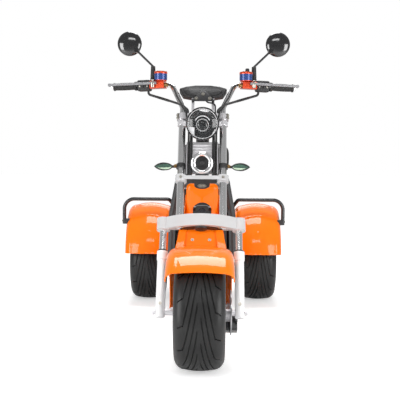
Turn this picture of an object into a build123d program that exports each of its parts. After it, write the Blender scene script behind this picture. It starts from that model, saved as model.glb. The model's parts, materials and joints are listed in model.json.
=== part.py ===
from build123d import *
import os
from math import cos, radians, sin

# Three-wheeled electric motorcycle: one steered front wheel on a raked fork, two rear wheels.
# Millimetres. X is the rider's left, Y runs backwards, Z is up from the ground.
# Pieces are drawn with Y = 0 at the front axle, and FRONT_Y moves them all to the part's origin.

# Wheels
TYRE_D = 459.0
TYRE_W = 200.0
TYRE_SHOULDER = 46.0
TYRE_CROWN = 5.0
TYRE_BULGE = 6.0
RIM_D = 262.0
RIM_W = 150.0
RIM_WALL = 14.0
RIM_LIP = 4.0
RIM_LIP_GAP = 7.0
RIM_LIP_W = 8.0
RIM_WEB = 16.0
SPOKES = 5
SPOKE_W = 30.0
HUB_R = 36.0
WHEELBASE = 1400.0
TRACK = 648.0

# Fits
FIT = 0.2
RUNNING_FIT = 0.06
SIDE_PLAY = 0.5

# Fork, with distances along its slope from the axle
RAKE = 28.0
FORK_OFFSET = 45.0
STANCHION_R = 16.0
LEG_R = 19.5
LEG_GAP = 26.0
LEG_BOTTOM = 24.0
LEG_OVER_TAB = 38.0
COLLAR_R = 22.5
COLLAR_H = 36.0
SLIDER_R = 14.5
SLIDER_DEPTH = 110.0
YOKE_GAP = 113.0
YOKE_H = 52.0
YOKE_WEB = 24.0
YOKE_RIM = 16.0
YOKE_BOW = 52.0
YOKE_END_R = 28.0
UPPER_RUN = 217.0
LOWER_CLAMP_T = 18.0
LOWER_COLLAR_H = 30.0
HEAD_SPAN = 310.0
TOP_CLAMP_T = 28.0
CLAMP_R = 25.0
STEM_R = 15.0
STEM_BOSS_R = 34.0
HEAD_R = 30.0
HEAD_PLAY = 1.5

# Front axle and brake
AXLE_R = 7.5
AXLE_NUT_R = 12.0
AXLE_NUT_T = 12.0
SPACER_R = 14.0
DISC_R = 90.0
DISC_IN_R = 30.0
DISC_T = 4.0
DISC_GAP = 22.0
DISC_HOLES = 6
DISC_HOLE_R = 11.0
CALIPER_W = 56.0
CALIPER_D = 56.0
CALIPER_H = 60.0
CALIPER_BACK = 44.0
CALIPER_GAP = 3.0

# Front fender and shield
FENDER_GAP = 35.5
FENDER_SIDE_GAP = 34.0
FENDER_SKIRT = 60.0
FENDER_CROWN = 7.0
FENDER_SHOULDER = 42.0
FENDER_WALL = 4.0
FENDER_FRONT = 43.0
FENDER_REAR = 98.0
FENDER_TAB_UP = 13.0
FENDER_TAB_R = 8.0
SHIELD_IN = 22.0
SHIELD_TAPER = 19.0
SHIELD_T = 8.0
SHIELD_BACK = -14.0

# Lamps and horn on the fork
LAMP_R = 74.0
LAMP_DEPTH = 62.0
LAMP_SIDE_GAP = 18.5
LAMP_DROP = 32.4
LAMP_REACH = 76.7
LAMP_RING = 8.0
LAMP_EAR_H = 20.0
LENS_T = 6.0
PLATE_T = 6.0
PLATE_UP = 27.0
PLATE_DROP = 125.0
HORN_R = 49.0
HORN_DEPTH = 36.0
HORN_UP = 80.6
HORN_REACH = 55.2
HORN_STUB_R = 11.0
BLINKER_UP = 61.3
BLINKER_GAP = 35.5
BLINKER_L = 84.0
BLINKER_H = 32.0
BLINKER_D = 36.0
BLINKER_LENS_T = 12.0
STALK_R = 6.0
RING_WALL = 5.0
RING_H = 20.0

# Handlebar and controls, with places measured from the middle of the top clamp
BAR_R = 12.5
BAR_RISE = 55.0
BAR_KNEE_X = 146.0
BAR_KNEE_BACK = 87.0
BAR_KNEE_UP = 159.4
BAR_HALF = 425.0
BAR_END_BACK = 141.0
BAR_END_UP = 151.4
BAR_BEND = 34.0
GRIP_R = 17.0
GRIP_L = 116.0
CAP_R = 14.5
CAP_T = 9.0
POD_L = 64.0
POD_W = 44.0
POD_H = 52.0
POD_GAP = 3.0
MASTER_L = 68.0
MASTER_W = 34.0
MASTER_REACH = 40.0
RESERVOIR_R = 31.0
RESERVOIR_H = 46.0
RESERVOIR_AT = 50.0
LEVER_R = 6.0
LEVER_BALL_R = 8.5
MIRROR_R = 57.0
MIRROR_DEPTH = 26.0
MIRROR_RIM = 5.0
MIRROR_X = 345.0
MIRROR_BACK = 80.0
MIRROR_UP = 347.4
MIRROR_GLASS_T = 3.0
PERCH_R = 8.0
PERCH_AT = 6.0
PERCH_UP = 245.4
STEM_ROD_R = 5.0

# Dash, with heights along the fork from the top clamp
DASH_HALF = 112.0
DASH_LOW_HALF = 94.0
DASH_TOP_HALF = 76.0
DASH_LOW_UP = 105.0
DASH_MID_UP = 149.0
DASH_TOP_UP = 167.0
DASH_T = 34.0
DASH_BACK = -14.0
POST_X = 46.0
POST_W = 13.0
POST_T = 8.0

# Hoses and wiring, held by the bars, the clamps and the lamp plate
HOSE_R = 4.5
HOSE_IN = 30.5
HOSE_AHEAD = 26.0
HOSE_OUTLET = 40.0
HOSE_FROM_BAR = 40.0
HOSE_FROM_CLAMP = 46.0
HOSE_BEND = 45.0
LOOM_R = 5.5
LOOM_POD_IN = 50.0
LOOM_DROP = 15.0
LOOM_SAG = (4.0, -42.0, -80.0)
LOOM_BEND = 15.0
LOOM_FOOT = 22.0
FORK_LOOM_R = 6.5
FORK_LOOM_GAP = 1.0
FORK_LOOM_BEND = 45.0
BEHIND_LAMP = 77.0
CABLE_R = 3.5
CABLE_X = 12.0
CABLE_DROP = 25.0
CABLE_BEND = 20.0

# Frame
TUBE_R = 17.0
CROSS_R = 14.0
RAIL_UP = 32.5
SEAT_RAIL_UP = 330.5
HEAD_JOIN_X = 24.0
HEAD_JOIN_BACK = 19.4
HEAD_JOIN_UP = 110.3
SHOULDER_FROM_JOIN = (86.0, 104.0, -77.0)
KNEE_FROM_JOIN = (119.0, 158.0, -248.0)
SHIN_AHEAD = 78.0
SHIN_UP = 110.5
ARM_L = 242.0
REAR_BEND_RUN = 80.0
TAIL_RUN = 180.0
FRAME_BEND = 45.0
NOSE_CROSS_DROP = 53.0
BOX_CROSS_DROP = 141.0

# Nose cover and lock box, with drops from the frame's shoulder
NOSE_TOP_DROP = 17.0
NOSE_LOW_DROP = 179.0
NOSE_TOP_HALF = 75.0
NOSE_LOW_HALF = 83.0
NOSE_AHEAD = 30.0
NOSE_FILLET = 22.0
NOTCH_HALF = 46.0
NOTCH_DROP = 105.0
LOCK_HALF = 30.0
LOCK_H = 52.0
LOCK_DROP = 173.0
LOCK_DEPTH = 50.0

# Floor, battery and side panels
BOARD_SIDE = 45.0
BOARD_L = 234.0
BOARD_T = 16.0
BOARD_GAP = 8.0
BOARD_LIP = 10.0
BATTERY_SIDE_GAP = 7.0
BATTERY_L = 248.0
BATTERY_GAP = 4.0
PANEL_T = 14.0
PANEL_FILLET = 34.0
PANEL_DROP = 4.0
SOCKET_R = 12.0
SOCKET_DEPTH = 11.0
SOCKET_BACK = 68.0
SOCKET_DROP = 90.0

# Seat and backrest
SEAT_OVERHANG = 42.0
SEAT_FRONT_L = 320.0
SEAT_TAIL_GAP = 80.0
SEAT_H = 112.0
SEAT_STEP_H = 150.0
SEAT_FILLET = 40.0
PAD_SIDE = 8.0
PAD_GAP = 17.6
PAD_H = 197.0
PAD_T = 58.0
PAD_CORNER = 60.0
SISSY_R = 9.0
SISSY_IN = 45.0
SISSY_DROP = 37.0

# Rear axle, motor and shocks
HOUSING_R = 27.0
HOUSING_GAP = 118.0
STUB_R = 12.5
REAR_HUB_HALF = 62.0
DRUM_R = 78.0
DRUM_W = 34.0
ARM_IN = 46.0
ARM_R = 15.0
MOTOR_R = 88.0
MOTOR_SIDE_GAP = 14.0
SHOCK_IN = 10.0
SHOCK_R = 13.0
SPRING_R = 20.0
SPRING_WIRE = 5.0
SPRING_COILS = 9
SHOCK_EYE_R = 14.0

# Rear fenders and grab rails
REAR_FENDER_GAP = 70.5
REAR_FENDER_IN = 10.0
REAR_FENDER_SIDE_GAP = 30.0
REAR_FENDER_LIFT = 45.0
REAR_FENDER_SKIRT = 110.0
REAR_FENDER_CROWN = 14.0
REAR_FENDER_SHOULDER = 42.0
REAR_FENDER_FRONT = 84.0
REAR_FENDER_REAR = 90.0
STAY_W = 17.0
STAY_L = 80.0
STAY_H = 120.0
GRAB_R = 10.5
GRAB_AHEAD = 170.0
GRAB_UP = 46.0
GRAB_SIDE_GAP = 13.0
GRAB_DROP = 98.0
GRAB_BEND = 58.0
GRAB_TAB = 30.0

# Tail
TAIL_LAMP_HALF = 62.0
TAIL_LAMP_H = 46.0
TAIL_LAMP_D = 36.0
TAIL_BLINKER_L = 70.0
TAIL_BLINKER_R = 14.0
HOLDER_HALF = 100.0
HOLDER_H = 140.0
HOLDER_T = 4.0
HOLDER_ARM = 40.0
HOLDER_HOLE_R = 3.5
HOLDER_HOLE_SPACING = 120.0

# Widths and distances along the fork that follow from the sizes above
AXLE_Z = TYRE_D / 2
FENDER_R = TYRE_D / 2 + FENDER_GAP
FENDER_HALF = TYRE_W / 2 + FENDER_SIDE_GAP
FENDER_LOW_R = FENDER_R - FENDER_SKIRT
FENDER_TAB_ALONG = FENDER_LOW_R + FENDER_TAB_UP
LEG_X = FENDER_HALF + LEG_GAP
LEG_TOP = FENDER_TAB_ALONG + LEG_OVER_TAB
DISC_X = TYRE_W / 2 + DISC_GAP
SHIELD_LOW_HALF = FENDER_HALF - SHIELD_IN
SHIELD_TOP_HALF = SHIELD_LOW_HALF - SHIELD_TAPER
STANCHION_X = LAMP_R + LAMP_SIDE_GAP
YOKE_ALONG = FENDER_R + YOKE_GAP
LOWER_CLAMP_ALONG = YOKE_ALONG + UPPER_RUN
TOP_CLAMP_ALONG = LOWER_CLAMP_ALONG + HEAD_SPAN
PLATE_LOW = LOWER_CLAMP_ALONG + PLATE_UP
PLATE_TOP = TOP_CLAMP_ALONG - PLATE_DROP
DASH_LOW = TOP_CLAMP_ALONG + DASH_LOW_UP
DASH_MID = TOP_CLAMP_ALONG + DASH_MID_UP
DASH_TOP = TOP_CLAMP_ALONG + DASH_TOP_UP
BLINKER_IN = STANCHION_X + BLINKER_GAP
BLINKER_OUT = BLINKER_IN + BLINKER_L
HOSE_X = STANCHION_X - HOSE_IN
FORK_LOOM_X = HOSE_X - HOSE_R - FORK_LOOM_R - FORK_LOOM_GAP
LOOM_X = (STANCHION_X - BAR_R + POST_X + POST_W / 2 + CABLE_R) / 2
CABLE_FOOT_X = POST_X + POST_W / 2 + CABLE_R + FORK_LOOM_GAP

# Heights and places along the vehicle that follow from the sizes above
RAIL_Z = AXLE_Z + RAIL_UP
SEAT_RAIL_Z = AXLE_Z + SEAT_RAIL_UP
PIVOT_Y = WHEELBASE - ARM_L
FLOOR_BACK_Y = PIVOT_Y + TUBE_R - BOARD_LIP
SEAT_RAIL_Y = FLOOR_BACK_Y + REAR_BEND_RUN
TAIL_Y = WHEELBASE + TAIL_RUN
BATTERY_BACK_Y = PIVOT_Y - CROSS_R - BATTERY_GAP
BATTERY_FRONT_Y = BATTERY_BACK_Y - BATTERY_L
BOARD_BACK_Y = BATTERY_FRONT_Y - BOARD_GAP
BOARD_FRONT_Y = BOARD_BACK_Y - BOARD_L
FLOOR_FRONT_Y = BOARD_FRONT_Y + BOARD_LIP
PANEL_LOW_Z = RAIL_Z - PANEL_DROP
SOCKET_Y = BATTERY_FRONT_Y + SOCKET_BACK
SOCKET_Z = SEAT_RAIL_Z - SOCKET_DROP
SEAT_FRONT_Y = BATTERY_FRONT_Y - SEAT_OVERHANG
SEAT_STEP_Y = SEAT_FRONT_Y + SEAT_FRONT_L
SEAT_BACK_Y = TAIL_Y - SEAT_TAIL_GAP
SEAT_LOW_Z = SEAT_RAIL_Z + TUBE_R + 2 * FIT
PAD_LOW = SEAT_LOW_Z + SEAT_STEP_H + PAD_GAP
PAD_TOP = PAD_LOW + PAD_H
PAD_BACK_Y = TAIL_Y - CROSS_R
SISSY_TOP = PAD_TOP - SISSY_DROP
GRAB_Y = WHEELBASE - GRAB_AHEAD
GRAB_Z = SEAT_RAIL_Z + GRAB_UP
GRAB_LOW = SEAT_RAIL_Z - GRAB_DROP

# Widths that follow from the track of the rear wheels
REAR_WHEEL_X = TRACK / 2
REAR_FENDER_R = TYRE_D / 2 + REAR_FENDER_GAP
REAR_FENDER_X = REAR_WHEEL_X - REAR_FENDER_IN
REAR_FENDER_HALF = TYRE_W / 2 + REAR_FENDER_SIDE_GAP
REAR_FENDER_LOW_R = REAR_FENDER_R - REAR_FENDER_SKIRT
GRAB_X = REAR_FENDER_X + REAR_FENDER_HALF + GRAB_SIDE_GAP
HOUSING_HALF = REAR_WHEEL_X - HOUSING_GAP
RAIL_X = REAR_FENDER_X - REAR_FENDER_HALF - STAY_W - TUBE_R
BOARD_HALF = RAIL_X + BOARD_SIDE
BATTERY_HALF = RAIL_X - TUBE_R - BATTERY_SIDE_GAP
SEAT_HALF = RAIL_X
PAD_HALF = RAIL_X + PAD_SIDE
SISSY_X = RAIL_X - SISSY_IN
ARM_X = RAIL_X - ARM_IN
MOTOR_L = 2 * (ARM_X - ARM_R - MOTOR_SIDE_GAP)
SHOCK_X = RAIL_X - SHOCK_IN

FRONT_Y = -(WHEELBASE + REAR_FENDER_R - TYRE_D / 2) / 2
FORK = Plane(origin=(0, 0, AXLE_Z), x_dir=(1, 0, 0), z_dir=(0, sin(radians(RAKE)), cos(radians(RAKE))))
UPWARD = (Align.CENTER, Align.CENTER, Align.MIN)
TO_LEFT = Rot(0, 90, 0)
TO_FRONT = Rot(90, 0, 0)


def on_fork(x, back, along):
    """Point at a distance along the fork from the axle, and behind the fork's plane."""
    return FORK.from_local_coords(Vector(x, back, along))


def from_clamp(x, back, up):
    """Point at a level distance behind and above the middle of the top clamp."""
    return on_fork(0, 0, TOP_CLAMP_ALONG) + Vector(x, back, up)


def both(piece):
    """The piece and its mirror image on the other side of the vehicle."""
    return [piece, mirror(piece, Plane.YZ)]


def joined(pieces):
    """Separate solids that share one node."""
    return Compound([solid for piece in pieces for solid in piece.solids()])


def rod(start, end, radius):
    """Round bar between two points."""
    run = Vector(*end) - Vector(*start)
    return Plane(origin=start, z_dir=run) * Cylinder(radius, run.length, align=UPWARD)


def tube(points, radius, bend):
    """Round bar along straight runs joined by arcs."""
    path = FilletPolyline(*points, radius=bend)
    return sweep(Plane(path @ 0, z_dir=path % 0) * Circle(radius), path=path)


def block(x0, x1, y0, y1, z0, z1):
    """Box between two corners."""
    centre = Pos((x0 + x1) / 2, (y0 + y1) / 2, (z0 + z1) / 2)
    return centre * Box(x1 - x0, y1 - y0, z1 - z0)


def collar(height, bore, wall):
    """Ring round a tube, standing on its local origin."""
    return Cylinder(bore + wall, height) - Cylinder(bore, height)


def trapezoid(low_half, low, top_half, top):
    """Face with level lower and upper edges of two widths."""
    corners = [(-low_half, low), (low_half, low), (top_half, top), (-top_half, top)]
    return make_face(Polyline(*corners, close=True))


def arch_section(half, low, top, crown, shoulder):
    """Section across a fender: straight walls, round shoulders and a crowned top."""
    flat = half - shoulder
    edge = top - crown
    turn = shoulder * sin(radians(45))
    lines = Curve() + [
        ThreePointArc((-flat, edge), (0, top), (flat, edge)),
        ThreePointArc((flat, edge), (flat + turn, edge - shoulder + turn), (half, edge - shoulder)),
        Polyline((half, edge - shoulder), (half, low), (-half, low), (-half, edge - shoulder)),
        ThreePointArc((-half, edge - shoulder), (-flat - turn, edge - shoulder + turn), (-flat, edge)),
    ]
    return make_face(lines)


def arch(half, low, top, crown, shoulder, front, rear):
    """Solid of an arch section turned about the X axis, from rear to front of its top."""
    section = Plane.XZ * arch_section(half, low, top, crown, shoulder)
    return revolve(Rot(-rear, 0, 0) * section, axis=Axis.X, revolution_arc=front + rear)


def fender(half, low, top, crown, shoulder, wall, front, rear):
    """Open fender shell of one wall thickness."""
    outside = arch(half, low, top, crown, shoulder, front, rear)
    inside = arch(half - wall, low - wall, top - wall, crown, shoulder - wall, front, rear)
    return outside - inside


# Points of the lamps, bars and frame
LAMP_AT = on_fork(0, 0, TOP_CLAMP_ALONG - LAMP_DROP) - Vector(0, LAMP_REACH, 0)
HORN_AT = on_fork(0, 0, LOWER_CLAMP_ALONG + HORN_UP) - Vector(0, HORN_REACH, 0)
BLINKER_AT = on_fork(0, 0, LOWER_CLAMP_ALONG + BLINKER_UP) - Vector(0, BLINKER_D / 2, 0)
BAR_KNEE = from_clamp(BAR_KNEE_X, BAR_KNEE_BACK, BAR_KNEE_UP)
BAR_END = from_clamp(BAR_HALF, BAR_END_BACK, BAR_END_UP)
MIRROR_AT = from_clamp(MIRROR_X, MIRROR_BACK, MIRROR_UP)
HEAD_JOIN = on_fork(HEAD_JOIN_X, FORK_OFFSET + HEAD_JOIN_BACK, LOWER_CLAMP_ALONG + HEAD_JOIN_UP)
SHOULDER = HEAD_JOIN + Vector(*SHOULDER_FROM_JOIN)
KNEE = HEAD_JOIN + Vector(*KNEE_FROM_JOIN)
SHIN = Vector(RAIL_X, BOARD_FRONT_Y - SHIN_AHEAD, AXLE_Z + SHIN_UP)
NOSE_TOP = SHOULDER.Z - NOSE_TOP_DROP
NOSE_LOW = SHOULDER.Z - NOSE_LOW_DROP
NOSE_FRONT_Y = SHOULDER.Y - NOSE_AHEAD
NOSE_CROSS_Z = SHOULDER.Z - NOSE_CROSS_DROP
BOX_CROSS_Z = SHOULDER.Z - BOX_CROSS_DROP
NOTCH_TOP = SHOULDER.Z - NOTCH_DROP
LOCK_LOW = SHOULDER.Z - LOCK_DROP


# Wheels


def tyre():
    half = TYRE_W / 2
    flat = half - TYRE_SHOULDER
    edge = TYRE_D / 2 - TYRE_CROWN
    turn = TYRE_SHOULDER * sin(radians(45))
    wall = edge - TYRE_SHOULDER
    seat = RIM_D / 2
    bead = RIM_W / 2
    middle = ((half + bead) / 2 + TYRE_BULGE, (wall + seat) / 2)
    lines = Curve() + [
        ThreePointArc((-flat, edge), (0, TYRE_D / 2), (flat, edge)),
        ThreePointArc((flat, edge), (flat + turn, wall + turn), (half, wall)),
        ThreePointArc((half, wall), middle, (bead, seat)),
        Line((bead, seat), (-bead, seat)),
        ThreePointArc((-bead, seat), (-middle[0], middle[1]), (-half, wall)),
        ThreePointArc((-half, wall), (-flat - turn, wall + turn), (-flat, edge)),
    ]
    return Pos(0, 0, AXLE_Z) * revolve(Plane.XZ * make_face(lines), axis=Axis.X)


def rim(bore, hub_from, hub_to, web_x):
    """Wheel with a hollow barrel, two lips, a spoked web and a bored hub."""
    seat = RIM_D / 2 - FIT
    inside = seat - RIM_WALL
    half = RIM_W / 2 + RIM_LIP_GAP + RIM_LIP_W
    barrel = Cylinder(seat, 2 * half) - Cylinder(inside, 2 * half)
    lip = Cylinder(RIM_D / 2 + RIM_LIP, RIM_LIP_W) - Cylinder(inside, RIM_LIP_W)
    for end in (-1, 1):
        barrel += Pos(0, 0, end * (half - RIM_LIP_W / 2)) * lip
    web = Circle(inside + RIM_WALL / 2)
    outer = inside - RIM_WALL / 2
    inner = HUB_R + RIM_WALL
    angle = 180 / SPOKES
    wide = outer * sin(radians(angle)) - SPOKE_W / 2
    narrow = inner * sin(radians(angle)) - SPOKE_W / 2
    corners = [
        (inner * cos(radians(angle)), -narrow),
        (outer * cos(radians(angle)), -wide),
        (outer * cos(radians(angle)), wide),
        (inner * cos(radians(angle)), narrow),
    ]
    window = make_face(Polyline(*corners, close=True))
    window = fillet(window.vertices(), min(narrow, RIM_WALL) * 0.6)
    web -= PolarLocations(0, SPOKES) * window
    wheel = barrel + Pos(0, 0, web_x) * extrude(web, RIM_WEB / 2, both=True)
    wheel += Pos(0, 0, (hub_from + hub_to) / 2) * Cylinder(HUB_R, hub_to - hub_from)
    wheel -= Pos(0, 0, (hub_from + hub_to) / 2) * Cylinder(bore, hub_to - hub_from)
    return wheel


def front_rim():
    right_end = -TYRE_W / 2
    wheel = rim(AXLE_R + RUNNING_FIT, right_end, DISC_X, -RIM_W / 4)
    return Pos(0, 0, AXLE_Z) * TO_LEFT * wheel


def front_disc():
    face = Circle(DISC_R) - Circle(DISC_IN_R)
    face -= PolarLocations((DISC_R + HUB_R) / 2, DISC_HOLES) * Circle(DISC_HOLE_R)
    return Pos(DISC_X, 0, AXLE_Z) * TO_LEFT * extrude(face, DISC_T)


def rear_rim():
    """Rear wheel centred on its own tyre, with the brake drum on the inner side."""
    wheel = rim(STUB_R + RUNNING_FIT, -REAR_HUB_HALF, REAR_HUB_HALF, RIM_W / 4)
    drum = Cylinder(DRUM_R, DRUM_W) - Cylinder(STUB_R + RUNNING_FIT, DRUM_W)
    wheel += Pos(0, 0, -REAR_HUB_HALF - DRUM_W / 2 + RIM_WEB) * drum
    return TO_LEFT * wheel


def rear_wheel_place(side):
    return Pos(side * REAR_WHEEL_X, WHEELBASE, 0)


# Fork


def fork_tubes():
    """Upper tubes between the clamps and the yoke, and lower tubes from the yoke into the legs."""
    upper_low = YOKE_ALONG - YOKE_WEB / 2
    upper = Cylinder(STANCHION_R, TOP_CLAMP_ALONG - upper_low, align=UPWARD)
    lower_low = LEG_TOP - SLIDER_DEPTH + FIT
    lower = Cylinder(SLIDER_R, YOKE_ALONG + YOKE_WEB / 2 - lower_low, align=UPWARD)
    tubes = both(FORK * Pos(STANCHION_X, 0, upper_low) * upper)
    return joined(tubes + both(FORK * Pos(LEG_X, 0, lower_low) * lower))


def fork_legs():
    leg = Pos(0, 0, -LEG_BOTTOM) * Cylinder(LEG_R, LEG_TOP + LEG_BOTTOM, align=UPWARD)
    leg += Pos(0, 0, LEG_TOP - COLLAR_H) * Cylinder(COLLAR_R, COLLAR_H, align=UPWARD)
    leg = fillet(leg.faces().sort_by(Axis.Z)[0].edges(), LEG_R / 4)
    leg -= Pos(0, 0, LEG_TOP - SLIDER_DEPTH) * Cylinder(SLIDER_R + FIT, SLIDER_DEPTH, align=UPWARD)
    leg -= TO_LEFT * Cylinder(AXLE_R + FIT, 4 * LEG_R)
    tab_from = LEG_X - FENDER_HALF - FIT
    tab = Pos(0, 0, FENDER_TAB_ALONG) * Rot(0, -90, 0) * Cylinder(FENDER_TAB_R, tab_from, align=UPWARD)
    leg += tab - Pos(0, 0, FENDER_TAB_ALONG) * Cylinder(SLIDER_R + FIT, 4 * FENDER_TAB_R)
    return joined(both(FORK * Pos(LEG_X, 0, 0) * leg))


def bow(half, depth, width):
    """Band between two arcs, bowed forwards."""
    lines = Curve() + [
        ThreePointArc((-half, -width), (0, -depth - width), (half, -width)),
        Line((half, -width), (half, 0)),
        ThreePointArc((half, 0), (0, -depth), (-half, 0)),
        Line((-half, 0), (-half, -width)),
    ]
    return make_face(lines)


def wide_yoke():
    band = bow(LEG_X, YOKE_BOW, YOKE_RIM)
    ends = Sketch() + [Pos(end * LEG_X, 0) * Circle(YOKE_END_R) for end in (-1, 1)]
    front = extrude(band + ends, YOKE_H / 2, both=True)
    lines = Curve() + [
        ThreePointArc((-LEG_X, 0), (0, -YOKE_BOW), (LEG_X, 0)),
        Polyline((LEG_X, 0), (LEG_X, YOKE_END_R), (-LEG_X, YOKE_END_R), (-LEG_X, 0)),
    ]
    yoke = front + extrude(make_face(lines), YOKE_WEB / 2, both=True)
    for end in (-1, 1):
        yoke -= Pos(end * STANCHION_X, 0, 0) * Cylinder(STANCHION_R + FIT, 2 * YOKE_H)
        hole = Cylinder(SLIDER_R + FIT, YOKE_H / 2 + YOKE_WEB / 2 + FIT, align=UPWARD)
        yoke -= Pos(end * LEG_X, 0, -YOKE_H / 2) * hole
    return FORK * Pos(0, 0, YOKE_ALONG) * yoke


def clamp_outline():
    """Plate round both stanchions and the steering stem."""
    shape = Sketch() + [Pos(end * STANCHION_X, 0) * Circle(CLAMP_R) for end in (-1, 1)]
    shape += Rectangle(2 * STANCHION_X, 1.6 * CLAMP_R)
    shape += Pos(0, FORK_OFFSET) * Circle(STEM_BOSS_R)
    shape += Pos(0, FORK_OFFSET / 2) * Rectangle(2 * STEM_BOSS_R, FORK_OFFSET)
    return shape


def lower_clamp():
    """Clamp plate with a collar round each tube and the steering stem standing on it."""
    plate = extrude(clamp_outline(), LOWER_CLAMP_T / 2, both=True)
    for end in (-1, 1):
        place = Pos(end * STANCHION_X, 0, 0)
        plate += place * Cylinder(CLAMP_R, LOWER_COLLAR_H)
        plate -= place * Cylinder(STANCHION_R + FIT, LOWER_COLLAR_H)
    high = TOP_CLAMP_ALONG + TOP_CLAMP_T / 2 - LOWER_CLAMP_ALONG
    plate += Pos(0, FORK_OFFSET, 0) * Cylinder(STEM_R, high, align=UPWARD)
    return FORK * Pos(0, 0, LOWER_CLAMP_ALONG) * plate


def top_clamp():
    """Clamp plate with blind holes for the tubes below and the bars above, and the dash posts."""
    plate = extrude(clamp_outline(), TOP_CLAMP_T / 2, both=True)
    plate -= Pos(0, FORK_OFFSET, 0) * Cylinder(STEM_R + FIT, TOP_CLAMP_T)
    depth = TOP_CLAMP_T / 2
    for end in (-1, 1):
        place = Pos(end * STANCHION_X, 0, 0)
        plate -= place * Pos(0, 0, -depth) * Cylinder(STANCHION_R + FIT, depth + FIT, align=UPWARD)
        plate -= place * Cylinder(BAR_R + FIT, depth, align=UPWARD)
        post = Box(POST_W, POST_T, DASH_LOW - FIT - TOP_CLAMP_ALONG, align=UPWARD)
        plate += Pos(end * POST_X, 0, 0) * post
    return FORK * Pos(0, 0, TOP_CLAMP_ALONG) * plate


def front_axle():
    left = LEG_X + LEG_R + FIT
    shaft = Cylinder(AXLE_R, 2 * left + 2 * AXLE_NUT_T)
    nut = extrude(RegularPolygon(AXLE_NUT_R, 6), AXLE_NUT_T)
    shaft += Pos(0, 0, left) * nut
    shaft += Pos(0, 0, -left - AXLE_NUT_T) * nut
    inner = LEG_X - LEG_R - FIT
    for start, end in ((DISC_X + DISC_T + SIDE_PLAY, inner), (-inner, -TYRE_W / 2 - SIDE_PLAY)):
        shaft += Pos(0, 0, start) * Cylinder(SPACER_R, end - start, align=UPWARD)
    return Pos(0, 0, AXLE_Z) * TO_LEFT * shaft


def brake_caliper():
    inner = DISC_X + DISC_T / 2 - CALIPER_W / 2
    outer = DISC_X + DISC_T / 2 + CALIPER_W / 2
    back = CALIPER_BACK + CALIPER_D
    body = block(inner, outer, CALIPER_BACK, back, -CALIPER_H, 0)
    body = fillet(body.edges().filter_by(Axis.X), CALIPER_D / 6)
    cheek = DISC_T / 2 + CALIPER_GAP
    middle = DISC_X + DISC_T / 2
    body -= Pos(middle, 0, 0) * TO_LEFT * Cylinder(DISC_R + CALIPER_GAP, 2 * cheek)
    arm = block(LEG_X - LEG_R, outer, 0, CALIPER_BACK + CALIPER_D / 3, -CALIPER_H / 2, -CALIPER_H / 4)
    arm -= Pos(LEG_X, 0, 0) * Cylinder(LEG_R + FIT, 4 * CALIPER_H)
    arm -= Pos(middle, 0, 0) * TO_LEFT * Cylinder(DISC_R + CALIPER_GAP, 2 * cheek)
    return FORK * (body + arm).solids().sort_by(SortBy.VOLUME)[-1]


# Front fender


def front_fender():
    return Pos(0, 0, AXLE_Z) * fender(
        FENDER_HALF, FENDER_LOW_R, FENDER_R, FENDER_CROWN, FENDER_SHOULDER, FENDER_WALL,
        FENDER_FRONT, FENDER_REAR)


def fender_shield():
    top = YOKE_ALONG - YOKE_H / 2 - FIT
    low = FENDER_R - FENDER_CROWN - FENDER_SHOULDER
    plate = extrude(Plane.XZ * trapezoid(SHIELD_LOW_HALF, low, SHIELD_TOP_HALF, top), SHIELD_T)
    plate = FORK * Pos(0, SHIELD_BACK + SHIELD_T, 0) * plate
    room = arch(
        FENDER_HALF + FIT, FENDER_LOW_R, FENDER_R + FIT, FENDER_CROWN, FENDER_SHOULDER + FIT, 180, 180)
    room += TO_LEFT * Cylinder(FENDER_LOW_R + FIT, 2 * TYRE_W)
    return plate - Pos(0, 0, AXLE_Z) * room


# Headlight, horn and indicators


def headlight_shell():
    """Round bucket with a recess for the lens, facing forwards."""
    bucket = Cylinder(LAMP_R, LAMP_DEPTH, align=UPWARD)
    bucket = fillet(bucket.faces().sort_by(Axis.Z)[0].edges(), LAMP_DEPTH * 0.6)
    bucket -= Pos(0, 0, LAMP_DEPTH - LENS_T) * Cylinder(LAMP_R - LAMP_RING, LENS_T, align=UPWARD)
    return Pos(*LAMP_AT) * Pos(0, LAMP_DEPTH, 0) * TO_FRONT * bucket


def headlight_lens():
    lens = Cylinder(LAMP_R - LAMP_RING - FIT, LENS_T - FIT, align=UPWARD)
    return Pos(*LAMP_AT) * Pos(0, LENS_T - FIT, 0) * TO_FRONT * lens


def lamp_bracket():
    """Plate between the upper tubes for the horn, and clamp rings with ears to the headlight's sides."""
    half = STANCHION_X - STANCHION_R - RING_WALL - 2 * FIT
    height = PLATE_TOP - PLATE_LOW
    plate = FORK * Pos(0, PLATE_T / 2, (PLATE_TOP + PLATE_LOW) / 2) * Box(2 * half, PLATE_T, height)
    clamp = FORK * Pos(STANCHION_X, 0, TOP_CLAMP_ALONG - LAMP_DROP)
    ring = clamp * collar(LAMP_EAR_H, STANCHION_R + FIT, RING_WALL)
    inner = LAMP_R + FIT
    outer = STANCHION_X - STANCHION_R / 2
    low = LAMP_AT.Z - LAMP_EAR_H / 2
    ear = block(inner, outer, LAMP_AT.Y + LENS_T, LAMP_AT.Y + LAMP_REACH, low, low + LAMP_EAR_H)
    ear -= clamp * Cylinder(STANCHION_R + FIT, 4 * LAMP_EAR_H)
    return joined([plate] + both(ring + ear))


def horn():
    body = Cylinder(HORN_R, HORN_DEPTH, align=UPWARD)
    body = fillet(body.faces().sort_by(Axis.Z)[0].edges(), HORN_DEPTH / 2)
    body = Pos(*HORN_AT) * Pos(0, HORN_DEPTH, 0) * TO_FRONT * body
    root = HORN_AT + Vector(0, HORN_REACH + HORN_STUB_R, 0)
    stub = rod(HORN_AT + Vector(0, HORN_DEPTH / 2, 0), root, HORN_STUB_R)
    behind = FORK * Pos(0, HORN_R - FIT, PLATE_LOW) * Box(4 * HORN_R, 2 * HORN_R, 8 * HORN_R)
    return body + stub - behind


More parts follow.
